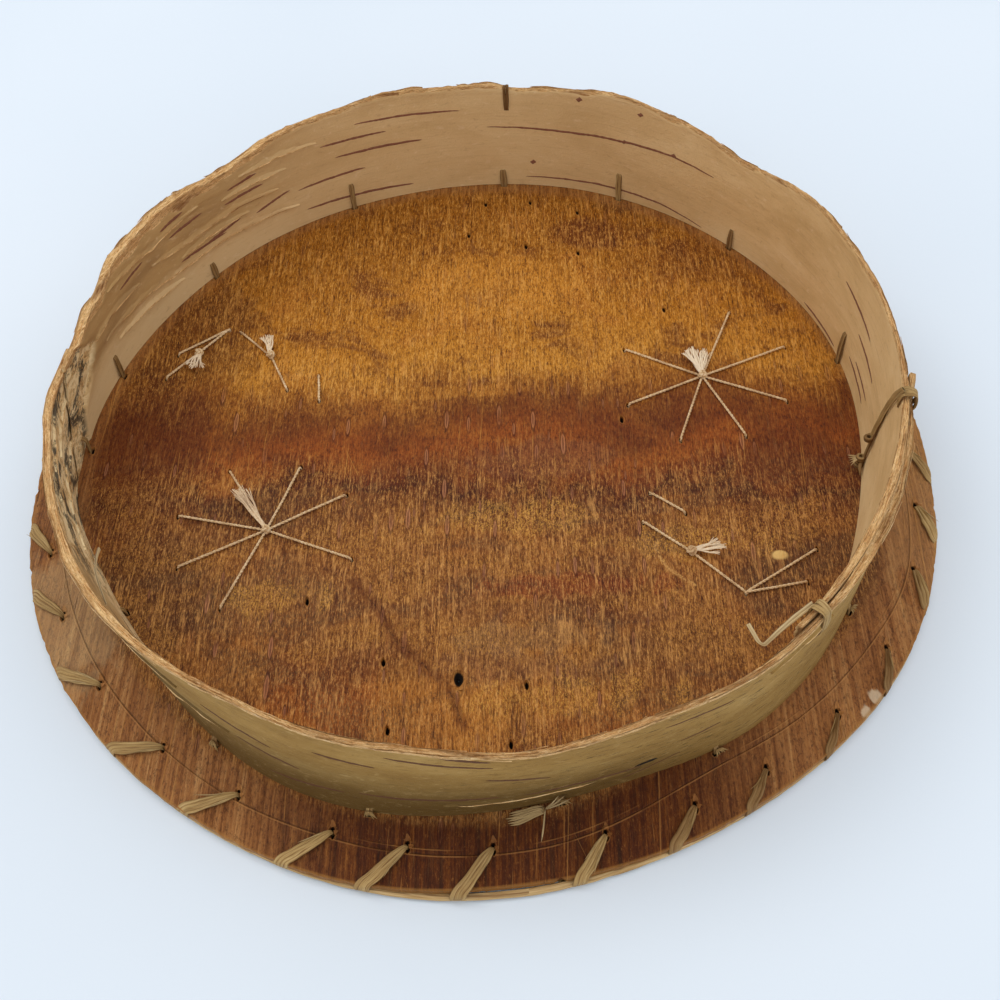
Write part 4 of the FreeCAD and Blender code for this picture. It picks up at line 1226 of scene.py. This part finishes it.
def ring_sections(deg, low, high, width, slant=0.0, shift=0.0, step=0.7, pinch=0.55, tight=0.0):
    # a closed turn of root round the bark: low and high are the inner sides of its bars
    out = polar(1, deg)
    along = UP.cross(out)
    low += FLOOR_TOP - RING_T / 2
    high += FLOOR_TOP + RING_T / 2
    tall = high - low
    # side of the bark, how much closer it hugs it, height, facing, share of the width
    corners = (
        (-1, 0.35, high - 0.5, out * -1, 0.8), (-1, 0, low + tall * 0.5, out * -1, 1.0),
        (-1, 0, low + 0.5, out * -1, 0.8), (-1, 0.4, low, UP * -1, pinch), (1, 0.4, low, UP * -1, pinch),
        (1, 0, low + 0.5, out, 0.8), (1, 0, low + tall * 0.5, out, 1.0), (1, 0.5, high - 0.5, out, 0.8),
        (1, 1.2, high, UP, pinch), (-1, 0.9, high, UP, pinch), (-1, 0.35, high - 0.5, out * -1, 0.8))
    sections = []
    for which, closer, z, face, part in corners:
        # the bars follow the lean of the wall
        share = min(max(z - FLOOR_TOP, 0.0), WALL_H) / WALL_H
        off = layers_at(deg, share)[(which + 1) // 2]
        bark = [face_reach(deg + turn, share * WALL_H, off) for turn in (-0.8, 0, 0.8)]
        bark = max(bark) if which > 0 else min(bark)
        reach = bark + which * (ROOT_GAP + RING_T / 2 - tight - closer)
        side = shift + slant * ((z - low) / tall - 0.5) * -which
        at = MIDDLE + out * reach + along * side
        at.z = z
        sections.append((at, along * width / 2 * part, face * RING_T / 2))
    return soften(resample(sections, step)[:-1], 2, True)


def hair(root, path, radius, seed, tone, lean=UP):
    # one loose fibre along a path
    sections = []
    for i, p in enumerate(path):
        go = heading(path, i)
        side = go.cross(lean).normalized()
        sections.append((p, side * radius, side.cross(go) * radius))
    sections = soften(resample(sections, 0.5), 3)
    root.strand(sections, 0.0, 1.0, 1.0, seed, tone, False, (2, 5))


for name, places in (("back", BACK_STITCHES), ("front", FRONT_STITCHES)):
    root = Root()
    for i, (deg, height) in enumerate(places):
        slant = 0.5 * math.sin(i * 2.3 + len(places))
        turn = ring_sections(deg, UNDER, height, 2.6 - 0.3 * (i % 3 == 1), slant)
        root.split(turn, 3 - i % 2, i * 4.1 + len(places), 0.15 + 0.3 * rough(i * 1.7, 3.0), True)
        if name == "back":
            continue
        # the cut end outside is frayed
        out = polar(1, deg)
        along = UP.cross(out)
        start = MIDDLE + out * (ring_reach(deg, 0.0, height)[1] + 0.3) + Vector((0, 0, FLOOR_TOP + 2.0))
        for k in range(5):
            tip = start + along * (0.9 * k - 0.9) + out * (1.3 + 0.8 * rough(k * 2.3, i * 3.0))
            tip.z = FLOOR_TOP + 0.5 + 0.35 * (k % 3)
            middle = start.lerp(tip, 0.45) + Vector((0, 0, 0.7))
            hair(root, (start - along * 0.6 + along * 0.2 * k, middle, tip), 0.42, k + i * 7.0, 0.3)
    root.piece("foot_roots_" + name, ["foot_stitches_" + name])

# ---- ties over the rim and lacing at the right ---------------------------------------
# Where a strip ends, root is wound over the torn edge and through the bark below it;
# at the right the lap is laced further down. The front tie keeps a long loose tail.
def rim_height(deg):
    turn = deg % 360
    inner = inner_edge_height(turn - 360 if turn > 180 else turn)
    outer = outer_edge_height(turn)
    inner_here = turn < 173 or turn > 305
    return max(inner if inner_here else 0, outer if 168 < turn < 348.6 else 0)


def tie(root, deg, width, turns, seed, tone, drop=9.0):
    high = rim_height(deg)
    for k in range(turns):
        shift = (k - (turns - 1) / 2) * width / turns
        slant = 0.7 * rough(seed, k * 2.1) + (0.5 if k % 2 else -0.3)
        turn = ring_sections(deg, high - drop, high + 0.4 - 0.2 * (k % 2), width / turns * 1.2,
                             slant, shift, 0.6, 1.0, 0.15)
        root.split(turn, 3, seed + k * 3.3, tone + 0.2 * rough(k * 3.1, seed), True)


root = Root()
tie(root, 344.4, 3.6, 2, 2.0, 0.35, 5.0)
# its end runs down the lap as a thick strap to the knot in the lacing
strap = []
for deg, height, off, wide in ((344.2, 46.0, 0.6, 2.0), (345.0, 42.0, 1.1, 2.2), (346.2, 34.0, 1.05, 2.0),
                               (346.9, 27.5, 1.0, 1.8), (347.2, 21.0, 1.0, 1.7), (347.3, 15.8, 1.0, 1.5)):
    out = polar(1, deg)
    back_along = Vector((out.y, -out.x, 0))
    bark = face_reach(deg, height, layers_at(deg, height / WALL_H)[0])
    strap.append((MIDDLE + polar(bark - off, deg, FLOOR_TOP + height),
                  (out * 0.6 + back_along * 0.8) * wide / 2, (back_along * 0.6 - out * 0.8) * 0.42))
root.split(soften(resample(strap, 0.5), 3), 3, 5.0, 0.6)
root.piece("rim_root_right", ["rim_tie_right"])

root = Root()
tie(root, 79.0, 2.0, 2, 9.0, -0.15)
root.piece("rim_root_hook", ["rim_root_back"])


def coil(root, middle, axis, radius, turns, rise, width, seed, tone):
    # a root wound a few times round itself: a knot
    axis = axis.normalized()
    one = axis.orthogonal().normalized()
    two = axis.cross(one)
    path = []
    for i in range(int(turns * 14) + 1):
        a = 2 * math.pi * i / 14
        r = radius * (1 + 0.15 * math.sin(a * 0.6 + seed))
        path.append(middle + (one * math.cos(a) + two * math.sin(a)) * r
                    + axis * rise * (i / (turns * 14) - 0.5))
    hair(root, path, width, seed, tone, axis)


root = Root()
root.split(ring_sections(347.0, 3.0, 31.0, 2.0, 0.4, 0.5), 3, 5.0, 0.15, True)
near, _ = ring_reach(347.0, 3.0, 31.0)
inward = polar(-1, 347.0)
leg = MIDDLE + polar(near - 0.5, 347.25)
beside = inward.cross(UP)


def off_leg(rise, aside, into=0.0):
    # a place near the leg of the lacing
    return leg + UP * (FLOOR_TOP + rise) + beside * aside + inward * into


coil(root, off_leg(14.8, 0), UP, 1.1, 2.4, 1.8, 0.62, 3.0, 0.1)
for k in range(4):
    coil(root, off_leg(1.5 + k * 1.25, 0.5 * rough(k, 3.0), 0.5), UP + beside * 0.5 * rough(k * 2.0, 1.0),
         1.15, 1.2, 0.5, 0.62, k * 2.0, 0.2 + 0.2 * rough(k, 7.0))
hair(root, (off_leg(4.0, 0), off_leg(2.8, -2.2, 0.6), off_leg(1.6, -5.0, 0.2)), 0.6, 4.0, 0.1)
for k in range(5):
    low = off_leg(4.6, 0)
    tip = low + inward * (3.4 + 0.3 * k) + beside * (0.75 * k - 2.6) + UP * (0.35 * k - 0.9)
    hair(root, (low, low + inward * 1.8 + beside * (0.3 * k - 0.9), tip), 0.42, k * 3.0, 0.8)
root.piece("lap_root_right", ["lap_lacing_right"])

root = Root()
tie(root, 309.3, 3.4, 2, 14.0, 0.55)
near, far = ring_reach(309.3, rim_height(309.3) - 9.0, WALL_H)
base = MIDDLE + polar(near - 0.4, 309.3, FLOOR_TOP + rim_height(309.3))
# the tail lies flat to a slant, then turns up at its tip
TAIL = ((0.4, 0.2, -1.2), (-3.9, -2.2, -2.2), (-8.8, -5.0, -3.6), (-13.4, -8.0, -5.4),
        (-14.6, -7.0, -5.2), (-16.4, -2.2, -4.0))
path = [base + Vector(away) for away in TAIL]
tail = []
for i, width in enumerate((1.8, 1.8, 1.5, 1.1, 1.1, 1.3)):
    go = heading(path, i)
    across = go.cross(Vector((0.1, -0.58, 0.81))).normalized()
    tail.append((path[i], across * width * 0.5, across.cross(go) * 0.35))
root.split(soften(resample(tail, 0.5), 2), 2, 21.0, 0.95)
root.piece("rim_root_front", ["rim_tie_front"])

# ---- loose root ends -------------------------------------------------------------------
# The end of a root stands up inside at the left, and a flat frayed end lies at the
# foot of the wall outside at the front.
root = Root()
loose = []
near_left = face_reach(216.6, WALL_H - 3.5, layers_at(216.6, 1)[0]) - ROOT_GAP - 0.35
for deg, away, rise, width in (
        (216.6, 0.0, -3.5, 1.2), (214.4, 1.4, -1.5, 1.1), (212.7, 2.6, 0.0, 1.0),
        (211.2, 4.8, 1.0, 1.2), (210.4, 6.6, 1.5, 2.2)):
    at = MIDDLE + polar(near_left - away, deg, FLOOR_TOP + WALL_H + rise)
    loose.append((at, Vector((0, 0, width / 2)), polar(0.35, deg)))
root.strand(soften(resample(loose, 0.4), 6), 0.0, 1.0, 0.9, 31.0, 1.8)
root.piece("root_end_inside", ["root_end_left"])

root = Root()
flat_end = []
for deg, out, width in ((274.0, 1.8, 2.2), (272.6, 2.2, 3.2), (270.8, 2.8, 4.0), (269.0, 3.0, 4.2)):
    reach = face_reach(deg, 0, layers_at(deg, 0)[1]) + out
    at = MIDDLE + polar(reach, deg, FLOOR_TOP + 0.5 + 0.5 * bump(deg, 272.6, 1.0))
    flat_end.append((at, polar(width / 2, deg), Vector((0, 0, 0.35))))
flat_end = soften(resample(flat_end, 0.5), 3)
for j in range(6):
    across = -0.8 + 0.32 * j
    stop = len(flat_end) - int(3 + 3 * rough(j * 2.1, 6.0))
    root.strand(flat_end[:stop], across, 0.2, 0.8, 41.0 + j, 0.75 + 0.3 * rough(j, 8.0), False, (3, 5))
# wisps run on up the bark, and one thin fibre hangs over the flange
start = flat_end[0][0]
out = polar(1, 274.0)
along = UP.cross(out)
for k, (side, away, rise) in enumerate((
        (5.5, -1.0, 4.5), (7.0, -0.6, 2.6), (3.8, -0.8, 5.6), (2.2, 0.2, 3.4), (-2.6, 8.5, -0.2))):
    tip = start + along * side + out * away + Vector((0, 0, rise))
    hair(root, (start, start.lerp(tip, 0.5) + out * 0.5 + Vector((0, 0, 0.5)), tip), 0.24, k * 3.0, 0.9)
root.piece("root_end_outside", ["root_end_front"])

# ---- splint under the edge of the floor ---------------------------------------------------
# Thin split laths, end to end, stiffen the edge from below; they show as a pale line.
def splint_reach(deg):
    return FLOOR_RADIUS + swell(deg, FLOOR_WAVES) + 0.5


def splint_material():
    paint = Paint("split_wood")
    flat = paint.along()
    long = paint.grain(flat, (0.06, 1.8), 5.0, 0.65, 0.3)
    colour = paint.ramp(long, (
        (0.25, (138, 98, 54)), (0.45, (186, 150, 98)), (0.65, (212, 182, 132)),
        (0.80, (224, 200, 156))))
    dirt = paint.grain(flat, (0.03, 0.4), 4.0, 0.6, 0.5, shift=(3, 5, 0))
    colour.stain(dirt, 0.52, 0.68, 0.7, (112, 76, 42))
    return paint.finish(colour, long.step(0.3, 0.7, 0.55, 0.75), long, 0.25)


splint_paint = splint_material()
DEGREE = 2.54  # length of a degree along the splint
SPLINT_JOINTS = (240.5, 270.5, 331.0, 420.0, 510.0, 600.5)
SPLINT_NAMES = ("front_left", "front", "right", "back_right", "back_left")
# across and up, as shares of the lath's width and thickness
LATH = ((0.0, 0.15), (0.04, 0.6), (0.14, 0.92), (0.35, 1.0), (0.62, 0.96), (0.86, 1.0), (0.97, 0.7),
        (1.0, 0.3), (0.9, 0.03), (0.6, 0.0), (0.3, 0.04), (0.1, 0.0))
for n, (name, start, stop) in enumerate(zip(SPLINT_NAMES, SPLINT_JOINTS, SPLINT_JOINTS[1:])):
    points, faces, strip = [], [], []
    start += 0.03
    stop -= 0.03
    count = int((stop - start) * DEGREE)
    for i in range(count + 1):
        share = i / count
        run = (stop - start) * share * DEGREE
        for k, (across, high) in enumerate(LATH):
            fray = 0.0
            if i in (0, count):
                fray = 0.1 * rough(across * 4, high * 3, n * 5.0 + share) + 0.1
                fray *= -1 if i == 0 else 1
            deg = start + (stop - start) * share + fray
            back_in = 0.3 + 0.3 * rough(deg / 9, n * 3.0) + 0.2 * rough(deg / 2, n * 3.0)
            out = splint_reach(deg) - max(0.4, back_in + 0.15) * (1 - across) - 2.6 * across
            worn = 0.10 * rough(run / 6, k * 1.7, n * 2.0) + 0.1
            out -= worn if across < 0.5 else -worn
            high = 0.85 + 1.2 * high + (0.05 * rough(run / 2.5, k * 2.3) - 0.05) * (1 if high > 0.5 else -1)
            points.append(polar(out, deg, high))
            strip.append((run + n * 100, k * 0.45))
    sleeve(faces, 0, count + 1, len(LATH))
    make_piece("splint_" + name, points, faces, splint_paint, ["rim_splint_" + name], None, strip)

# ---- overcast stitches round the edge -------------------------------------------------------
# Flat split root: up through a hole, slantwise over the edge and the splint, back
# under the floor and up through the next hole. Broad at the left, fine at the right.
FRONT_HOLES = (
    177.5, 189.9, 200.1, 211.9, 224.4, 236.0, 248.4, 257.3, 267.1,
    279.9, 290.6, 300.0, 311.1, 321.8, 333.7, 343.4, 352.5,
)
back_step = (FRONT_HOLES[0] + 360 - FRONT_HOLES[-1]) / 16
edge_holes = list(FRONT_HOLES) + [FRONT_HOLES[-1] + back_step * (i + 1) for i in range(15)]
# how broad a stitch is and how much it is twisted, for those that are not plain
SLIM = {
    267.1: (1.0, 0.0), 279.9: (0.9, 0.0), 290.6: (0.85, 0.0), 300.0: (0.75, 0.1), 311.1: (0.62, 0.14),
    321.8: (0.64, 0.12), 333.7: (0.85, 0.1), 343.4: (0.9, 0.12), 352.5: (0.8, 0.0)}


def edge_hole(deg):
    # the holes stand further in at the front left
    return polar(rim_radius(deg) - 5.8 - 6.2 * bump(deg, 247, 42), deg)


def edge_sections(hole_deg, next_deg, slim):
    # half the width where it lies open and in its hole, half the thickness, gap to the bark
    w, gathered, half, gap = 1.8 * slim, 0.65 * min(1.0, slim * 1.3), 0.35, 0.15
    edge_deg = hole_deg - 4.3 + 0.7 * bump(hole_deg, 268, 25)
    rho = polar(1, edge_deg)
    along = UP.cross(rho)
    hole, follow = edge_hole(hole_deg), edge_hole(next_deg)
    edge = polar(max(splint_reach(edge_deg + k) for k in (-1.5, 0, 1.5)) - 0.95, edge_deg)
    run = (edge - hole).length
    go = (edge - hole) / run
    under = (follow - edge).length
    back = (follow - edge) / under
    side = UP.cross(go)
    side_back = UP.cross(back) * -1
    over = FLOOR_TOP + gap + half
    skirt = FLOOR_UNDER - gap - half
    wide = w / max(0.5, go.dot(rho))
    # it runs flat under the splint until its trailing corner is clear of it
    clear = 2.5
    corner = edge
    while corner.length > splint_reach(edge_deg) - 2.6 - 2 * gap:
        clear += 0.25
        corner = edge + back * clear - side_back * w

    def tilt(direction, deg):
        a = math.radians(deg)
        return (UP * math.cos(a) - direction * math.sin(a)) * half

    return [
        (hole + UP * 3.45, side * gathered, tilt(go, 90)),
        (hole + UP * FLOOR_TOP, side * gathered, tilt(go, 90)),
        (hole + go * 0.45 + UP * (over + 0.12), side * gathered * 1.3, tilt(go, 35)),
        (hole + go * 1.6 + UP * (over + 0.15), side * w * 0.7, tilt(go, 0)),
        (hole + go * 3.6 + UP * (over + 0.45), side * w * 0.95, tilt(go, 0)),
        (hole + go * (run - 3.2) + UP * (over + 0.3), side * w * 1.2, tilt(go, 0)),
        (edge - rho * 0.7 + UP * (over + 0.02), (along * wide + side * w * 2) * 0.4, tilt(rho, -15)),
        (edge + rho * half + UP * (FLOOR_TOP - 0.5) - along * 0.5, along * w * 1.45, rho * half),
        (edge + rho * (half - 0.1) + UP * (half + 0.7) - along * 1.0, along * w * 1.2, rho * half),
        (edge - rho * 0.6 + UP * half - along * 0.7, along * w * 0.9,
         (rho * 0.3 - UP).normalized() * half),
        (edge + back * 2.2 + UP * half, side_back * w, UP * -half),
        (edge + back * clear + UP * half, side_back * w, UP * -half),
        (edge + back * (clear + (under - clear) * 0.7) + UP * (skirt - 0.1), side_back * w * 0.6,
         UP * -half),
        (follow - back * 0.4 + UP * (skirt - 0.1), side_back * gathered * 1.3,
         (back - UP).normalized() * half),
        (follow + UP * FLOOR_UNDER, side_back * gathered, back * half),
        (follow + UP * 3.15, side_back * gathered, back * half),
    ]


def twisted(sections, turns):
    # roll the strip about its own run, where it lies free on top
    out = []
    for i, (c, w, t) in enumerate(sections):
        part = i / len(sections)
        a = turns * 2 * math.pi * ease(part / 0.12) * (1 - ease((part - 0.16) / 0.1))
        scale = t.length / w.length
        keep = w * math.cos(a) + t * (math.sin(a) / scale)
        deep = t * math.cos(a) - w * (math.sin(a) * scale)
        out.append((c, keep, deep))
    return out


for i, deg in enumerate(edge_holes):
    next_deg = edge_holes[i - 1] - (360 if i == 0 else 0)
    slim, twist = SLIM.get(deg, (1.0 - 0.15 * max(0.0, rough(i * 1.3, 2.0)), 0.0))
    sections = soften(resample(edge_sections(deg, next_deg, slim), 0.55), 4)
    if twist:
        sections = twisted(sections, twist)
    count = 4 if slim > 0.9 else 3 if slim > 0.6 else 2
    # those at the right front are darker
    tone = 0.38 + 0.4 * rough(i * 2.9, 7.0) - (0.3 if 288 < deg < 330 else 0.0)
    root = Root()
    root.split(sections, count, i * 5.3, tone)
    # a fibre or two has sprung loose and stands off the strip
    for k in range(1 + i % 2):
        at, w, t = sections[int(len(sections) * 0.08) + k * 3]
        tip, wide, _ = sections[int(len(sections) * (0.24 + 0.06 * k))]
        lift = UP * (0.9 + 0.5 * k)
        side = 1 if (i + k) % 3 else -1
        hair(root, (at + w * 0.6 * side + UP * 0.2, at.lerp(tip, 0.45) + w * 0.9 * side + lift * 0.55,
                    tip + wide * (0.9 + 0.35 * k) * side + lift), 0.16, i + k * 9.0, tone + 0.3)
    root.piece(f"edge_root_{i + 1:02d}", [f"edge_stitch_{i + 1:02d}"])

# ---- thread stars ---------------------------------------------------------------------------
# Pale two-ply linen thread. A star is worked from a hole in its middle, each arm out
# over the floor, down through a hole and back below; it ends in a knot with frayed ends.
def thread_material():
    paint = Paint("linen_thread")
    where = paint.place()
    long = paint.grain(where, (1.4, 1.4, 1.4), 4.0, 0.65)
    colour = paint.ramp(long, (
        (0.28, (176, 138, 92)), (0.48, (214, 182, 138)), (0.70, (236, 212, 176))))
    grime = paint.grain(where, (0.12, 0.12, 0.12), 3.0)
    colour.stain(grime, 0.50, 0.66, 0.5, (168, 124, 80))
    colour.wash(paint.attribute("clean"), 0.75, (244, 230, 206))
    return paint.finish(colour, 0.85, long, 0.12)


thread_paint = thread_material()
ON_FLOOR = FLOOR_TOP + 0.1 + 0.45
BELOW_FLOOR = FLOOR_UNDER - 0.1 - 0.45


class Thread:
    def __init__(self, seed):
        self.points, self.faces, self.clean = [], [], []
        self.seed = seed

    def tube(self, path, radius, sides=6, clean=0.0):
        # radius: one number, or one for each point of the path
        first = len(self.points)
        before = Vector((0.3, 0.2, 1.0))
        for i, p in enumerate(path):
            go = heading(path, i)
            across = (before - go * before.dot(go)).normalized()
            before = across
            r = radius[i] if isinstance(radius, list) else radius
            for k in range(sides):
                a = 2 * math.pi * k / sides
                self.points.append(p + across * (r * math.cos(a)) + go.cross(across) * (r * math.sin(a)))
                self.clean.append(clean)
        sleeve(self.faces, first, len(path), sides)

    def ply(self, corners):
        # two strands twisted round each other along a path with eased corners
        path = [p for p, _, _ in soften(resample([(p, p, p) for p in corners], 0.4), 2)]
        run = 0.0
        strands = ([], [])
        before = Vector((0.3, 0.2, 1.0))
        for i, p in enumerate(path):
            if i:
                run += (p - path[i - 1]).length
            go = heading(path, i)
            across = (before - go * before.dot(go)).normalized()
            before = across
            for n, strand in enumerate(strands):
                a = run * 2 * math.pi / 2.6 + math.pi * n
                strand.append(p + (across * math.cos(a) + go.cross(across) * math.sin(a)) * 0.19)
        for strand in strands:
            self.tube(strand, 0.24)

    def stitch(self, a, b, close=True):
        # over the floor from a to b, down at b, back under it and up at a
        a, b = spot(*a), spot(*b)
        up, low = UP * ON_FLOOR, UP * BELOW_FLOOR
        go = (b - a).normalized()
        side = Vector((-go.y, go.x, 0)) * 0.25 * rough(a.x * 0.3 + self.seed, b.y * 0.3)
        self.ply([a + low + up * 0.25, a + up + go * 0.5, (a + b) / 2 + up + side, b + up - go * 0.5,
                  b + low, a + low] + ([a + up] if close else []))

    def knot(self, middle, ends, hairs, clean=0.8, thick=0.44, length=10.0):
        at = middle + UP * (FLOOR_TOP + 0.1 + 1.3)
        turn = random.Random(self.seed)
        for n in range(2):
            lean = turn.uniform(0, 6)
            path = []
            for i in range(37):
                t = 2 * math.pi * i / 36
                r = 0.55 + 0.28 * math.cos(3 * t)
                p = Vector((r * math.cos(2 * t + lean), r * math.sin(2 * t + lean), 0.42 * math.sin(3 * t)))
                path.append(at + p * (1.6 - 0.25 * n) + Vector((0, 0, -0.25 + 0.5 * n)))
            self.tube(path, 0.42)
        for k in range(hairs):
            share = k / (hairs - 1) * (len(ends) - 1)
            one, two = ends[int(share)], ends[min(int(share) + 1, len(ends) - 1)]
            mix = share - int(share)
            deg, reach, rise = (a + (b - a) * mix for a, b in zip(one, two))
            deg += turn.uniform(-4, 4)
            reach = length * reach * turn.uniform(0.85, 1.0)
            rise *= turn.uniform(0.5, 1.1)
            curl = turn.uniform(-0.7, 0.7)
            path = []
            for i in range(9):
                t = i / 8
                p = polar(reach * t, deg, rise * (1.2 * t - 0.35 * t * t) - 0.5 * t)
                p += polar(curl * t * t + 0.25 * math.sin(t * 7 + k), deg + 90)
                path.append(at + p)
            self.tube(path, [thick * (1 - 0.45 * i / 8) for i in range(9)], 5, clean)
            for n in (-1, 1):
                start = path[5 + k % 2]
                tip = path[-1] + polar(n * turn.uniform(0.4, 1.1), deg + 90, turn.uniform(-0.2, 0.6))
                self.tube([start, start.lerp(tip, 0.5) + UP * 0.15, tip], [0.2, 0.16, 0.08], 4, clean)

    def piece(self, name, node):
        make_piece(name, self.points, self.faces, thread_paint, [node], {"clean": self.clean})


def spot(x, y):
    # a place on the floor, in hundredths of the wall's radius
    return Vector((x, y, 0)) * (WALL_RADIUS / 100)


def star(name, node, middle, arms, ends, hairs, seed, clean):
    thread = Thread(seed)
    for deg, reach in arms:
        out = polar(reach, deg)
        thread.stitch(middle, (middle[0] + out.x, middle[1] + out.y))
    thread.knot(spot(*middle), ends, hairs, clean)
    thread.piece(name, node)


# arms: direction and reach; frayed ends: direction, reach and rise
star("star_right", "star_thread_right", (61.9, 16.7),
     ((62, 25.7), (17.6, 25.4), (331, 23.3), (289, 22.6), (245, 22.6), (198.6, 22.3), (147, 22.8)),
     ((118, 1.1, 2.2), (106, 1.15, 3.0), (94, 1.1, 2.0), (82, 1.05, 3.2), (71, 1.0, 2.0)), 14, 3, 0.8)
star("star_left", "star_thread_left", (-54.4, -19.1),
     ((66, 20.9), (23, 21.9), (332.4, 23.7), (243.3, 23.9), (200.8, 23.4), (162, 23.8), (116.4, 22.5)),
     ((116, 1.8, 2.2), (119, 1.9, 2.8), (122, 1.9, 2.8), (125, 1.8, 2.2)), 9, 8, 0.3)

for node, stitches, knot, ends in (
        ("thread_back_left_1", (((-66.3, 51.6), (-80.5, 43.9)), ((-66.3, 51.6), (-83.3, 35.4))),
         (-74.3, 43.1), ((235, 0.8, 1.8), (262, 0.85, 2.4), (285, 0.9, 1.6))),
        ("thread_back_left_2", (((-63.1, 50.2), (-54.1, 39.2)), ((-54.1, 39.2), (-49.8, 26.9))),
         (-54.3, 39.7), ((112, 0.9, 2.0), (98, 0.85, 2.6), (86, 0.9, 1.8))),
        ("thread_single_left", (((-41.1, 30.8), (-41.1, 21.8)),), None, ()),
        ("thread_single_right", (((41.8, -19.5), (49.5, -26.6)),), None, ()),
        ("thread_front_right", (((38.6, -27.9), (48.7, -38.1)), ((48.7, -38.1), (59.3, -50.9)),
                                ((59.3, -50.9), (78.7, -40.9)), ((59.3, -50.9), (74.4, -49.7))),
         (48.8, -38.2), ((-16, 0.95, 1.8), (-4, 1.05, 3.0), (8, 1.0, 2.4), (18, 0.9, 1.6)))):
    thread = Thread(len(node))
    for a, b in stitches:
        thread.stitch(a, b)
    if knot:
        thread.knot(spot(*knot), ends, 8, 0.6, 0.36)
    thread.piece(node.replace("thread_", "stitches_"), node)

# ---- floor of the room, light and camera -------------------------------------------
# A plain pale table, a soft light from above and behind, and the camera.
table = bpy.data.meshes.new("table")
table.from_pydata([(-3, -3, 0), (3, -3, 0), (3, 3, 0), (-3, 3, 0)], [], [(0, 1, 2, 3)])
table_top = bpy.data.objects.new("table", table)
bpy.context.scene.collection.objects.link(table_top)
paint = Paint("pale_table")
table.materials.append(paint.material)
cloud = paint.grain(paint.place(), (0.004, 0.004, 0.004), 2.0)
pale = paint.ramp(cloud, ((0.3, (219, 229, 239)), (0.7, (225, 234, 243))))
paint.finish(pale, 0.9, paint.grain(paint.place(), (0.5, 0.5, 0.5), 2.0), 0.02)

world = bpy.data.worlds.new("room")
bpy.context.scene.world = world
world.use_nodes = True
world.node_tree.nodes["Background"].inputs[0].default_value = tint(238, 240, 243)
world.node_tree.nodes["Background"].inputs[1].default_value = 0.94


def soft_lamp(name, at, size, power, colour):
    lamp = bpy.data.lights.new(name, "AREA")
    lamp.shape = "DISK"
    lamp.size = size
    lamp.energy = power
    lamp.color = colour
    thing = bpy.data.objects.new(name, lamp)
    thing.location = at
    thing.rotation_mode = "QUATERNION"
    thing.rotation_quaternion = (-Vector(at)).to_track_quat("-Z", "Y")
    bpy.context.scene.collection.objects.link(thing)


soft_lamp("window", (-1.3, 0.9, 2.1), 1.4, 13.0, (1.0, 0.985, 0.96))
soft_lamp("ceiling", (0.6, 0.1, 2.0), 1.6, 6.0, (1.0, 0.99, 0.98))
soft_lamp("front", (0.2, -1.9, 1.2), 1.6, 3.0, (1.0, 0.99, 0.97))

lens = bpy.data.cameras.new("camera")
lens.sensor_width = 36.0
lens.lens = 43.2
camera = bpy.data.objects.new("camera", lens)
right = Vector((0.99468, -0.09234, -0.04565))
up = Vector((0.10164, 0.80769, 0.58078))
back = Vector((-0.01676, -0.58233, 0.81278))
camera.matrix_world = Matrix.Translation((-0.00097, -0.24313, 0.31396)) @ Matrix(
    (right, up, back)).transposed().to_4x4()
bpy.context.scene.collection.objects.link(camera)
bpy.context.scene.camera = camera
bpy.context.scene.view_settings.view_transform = "Standard"
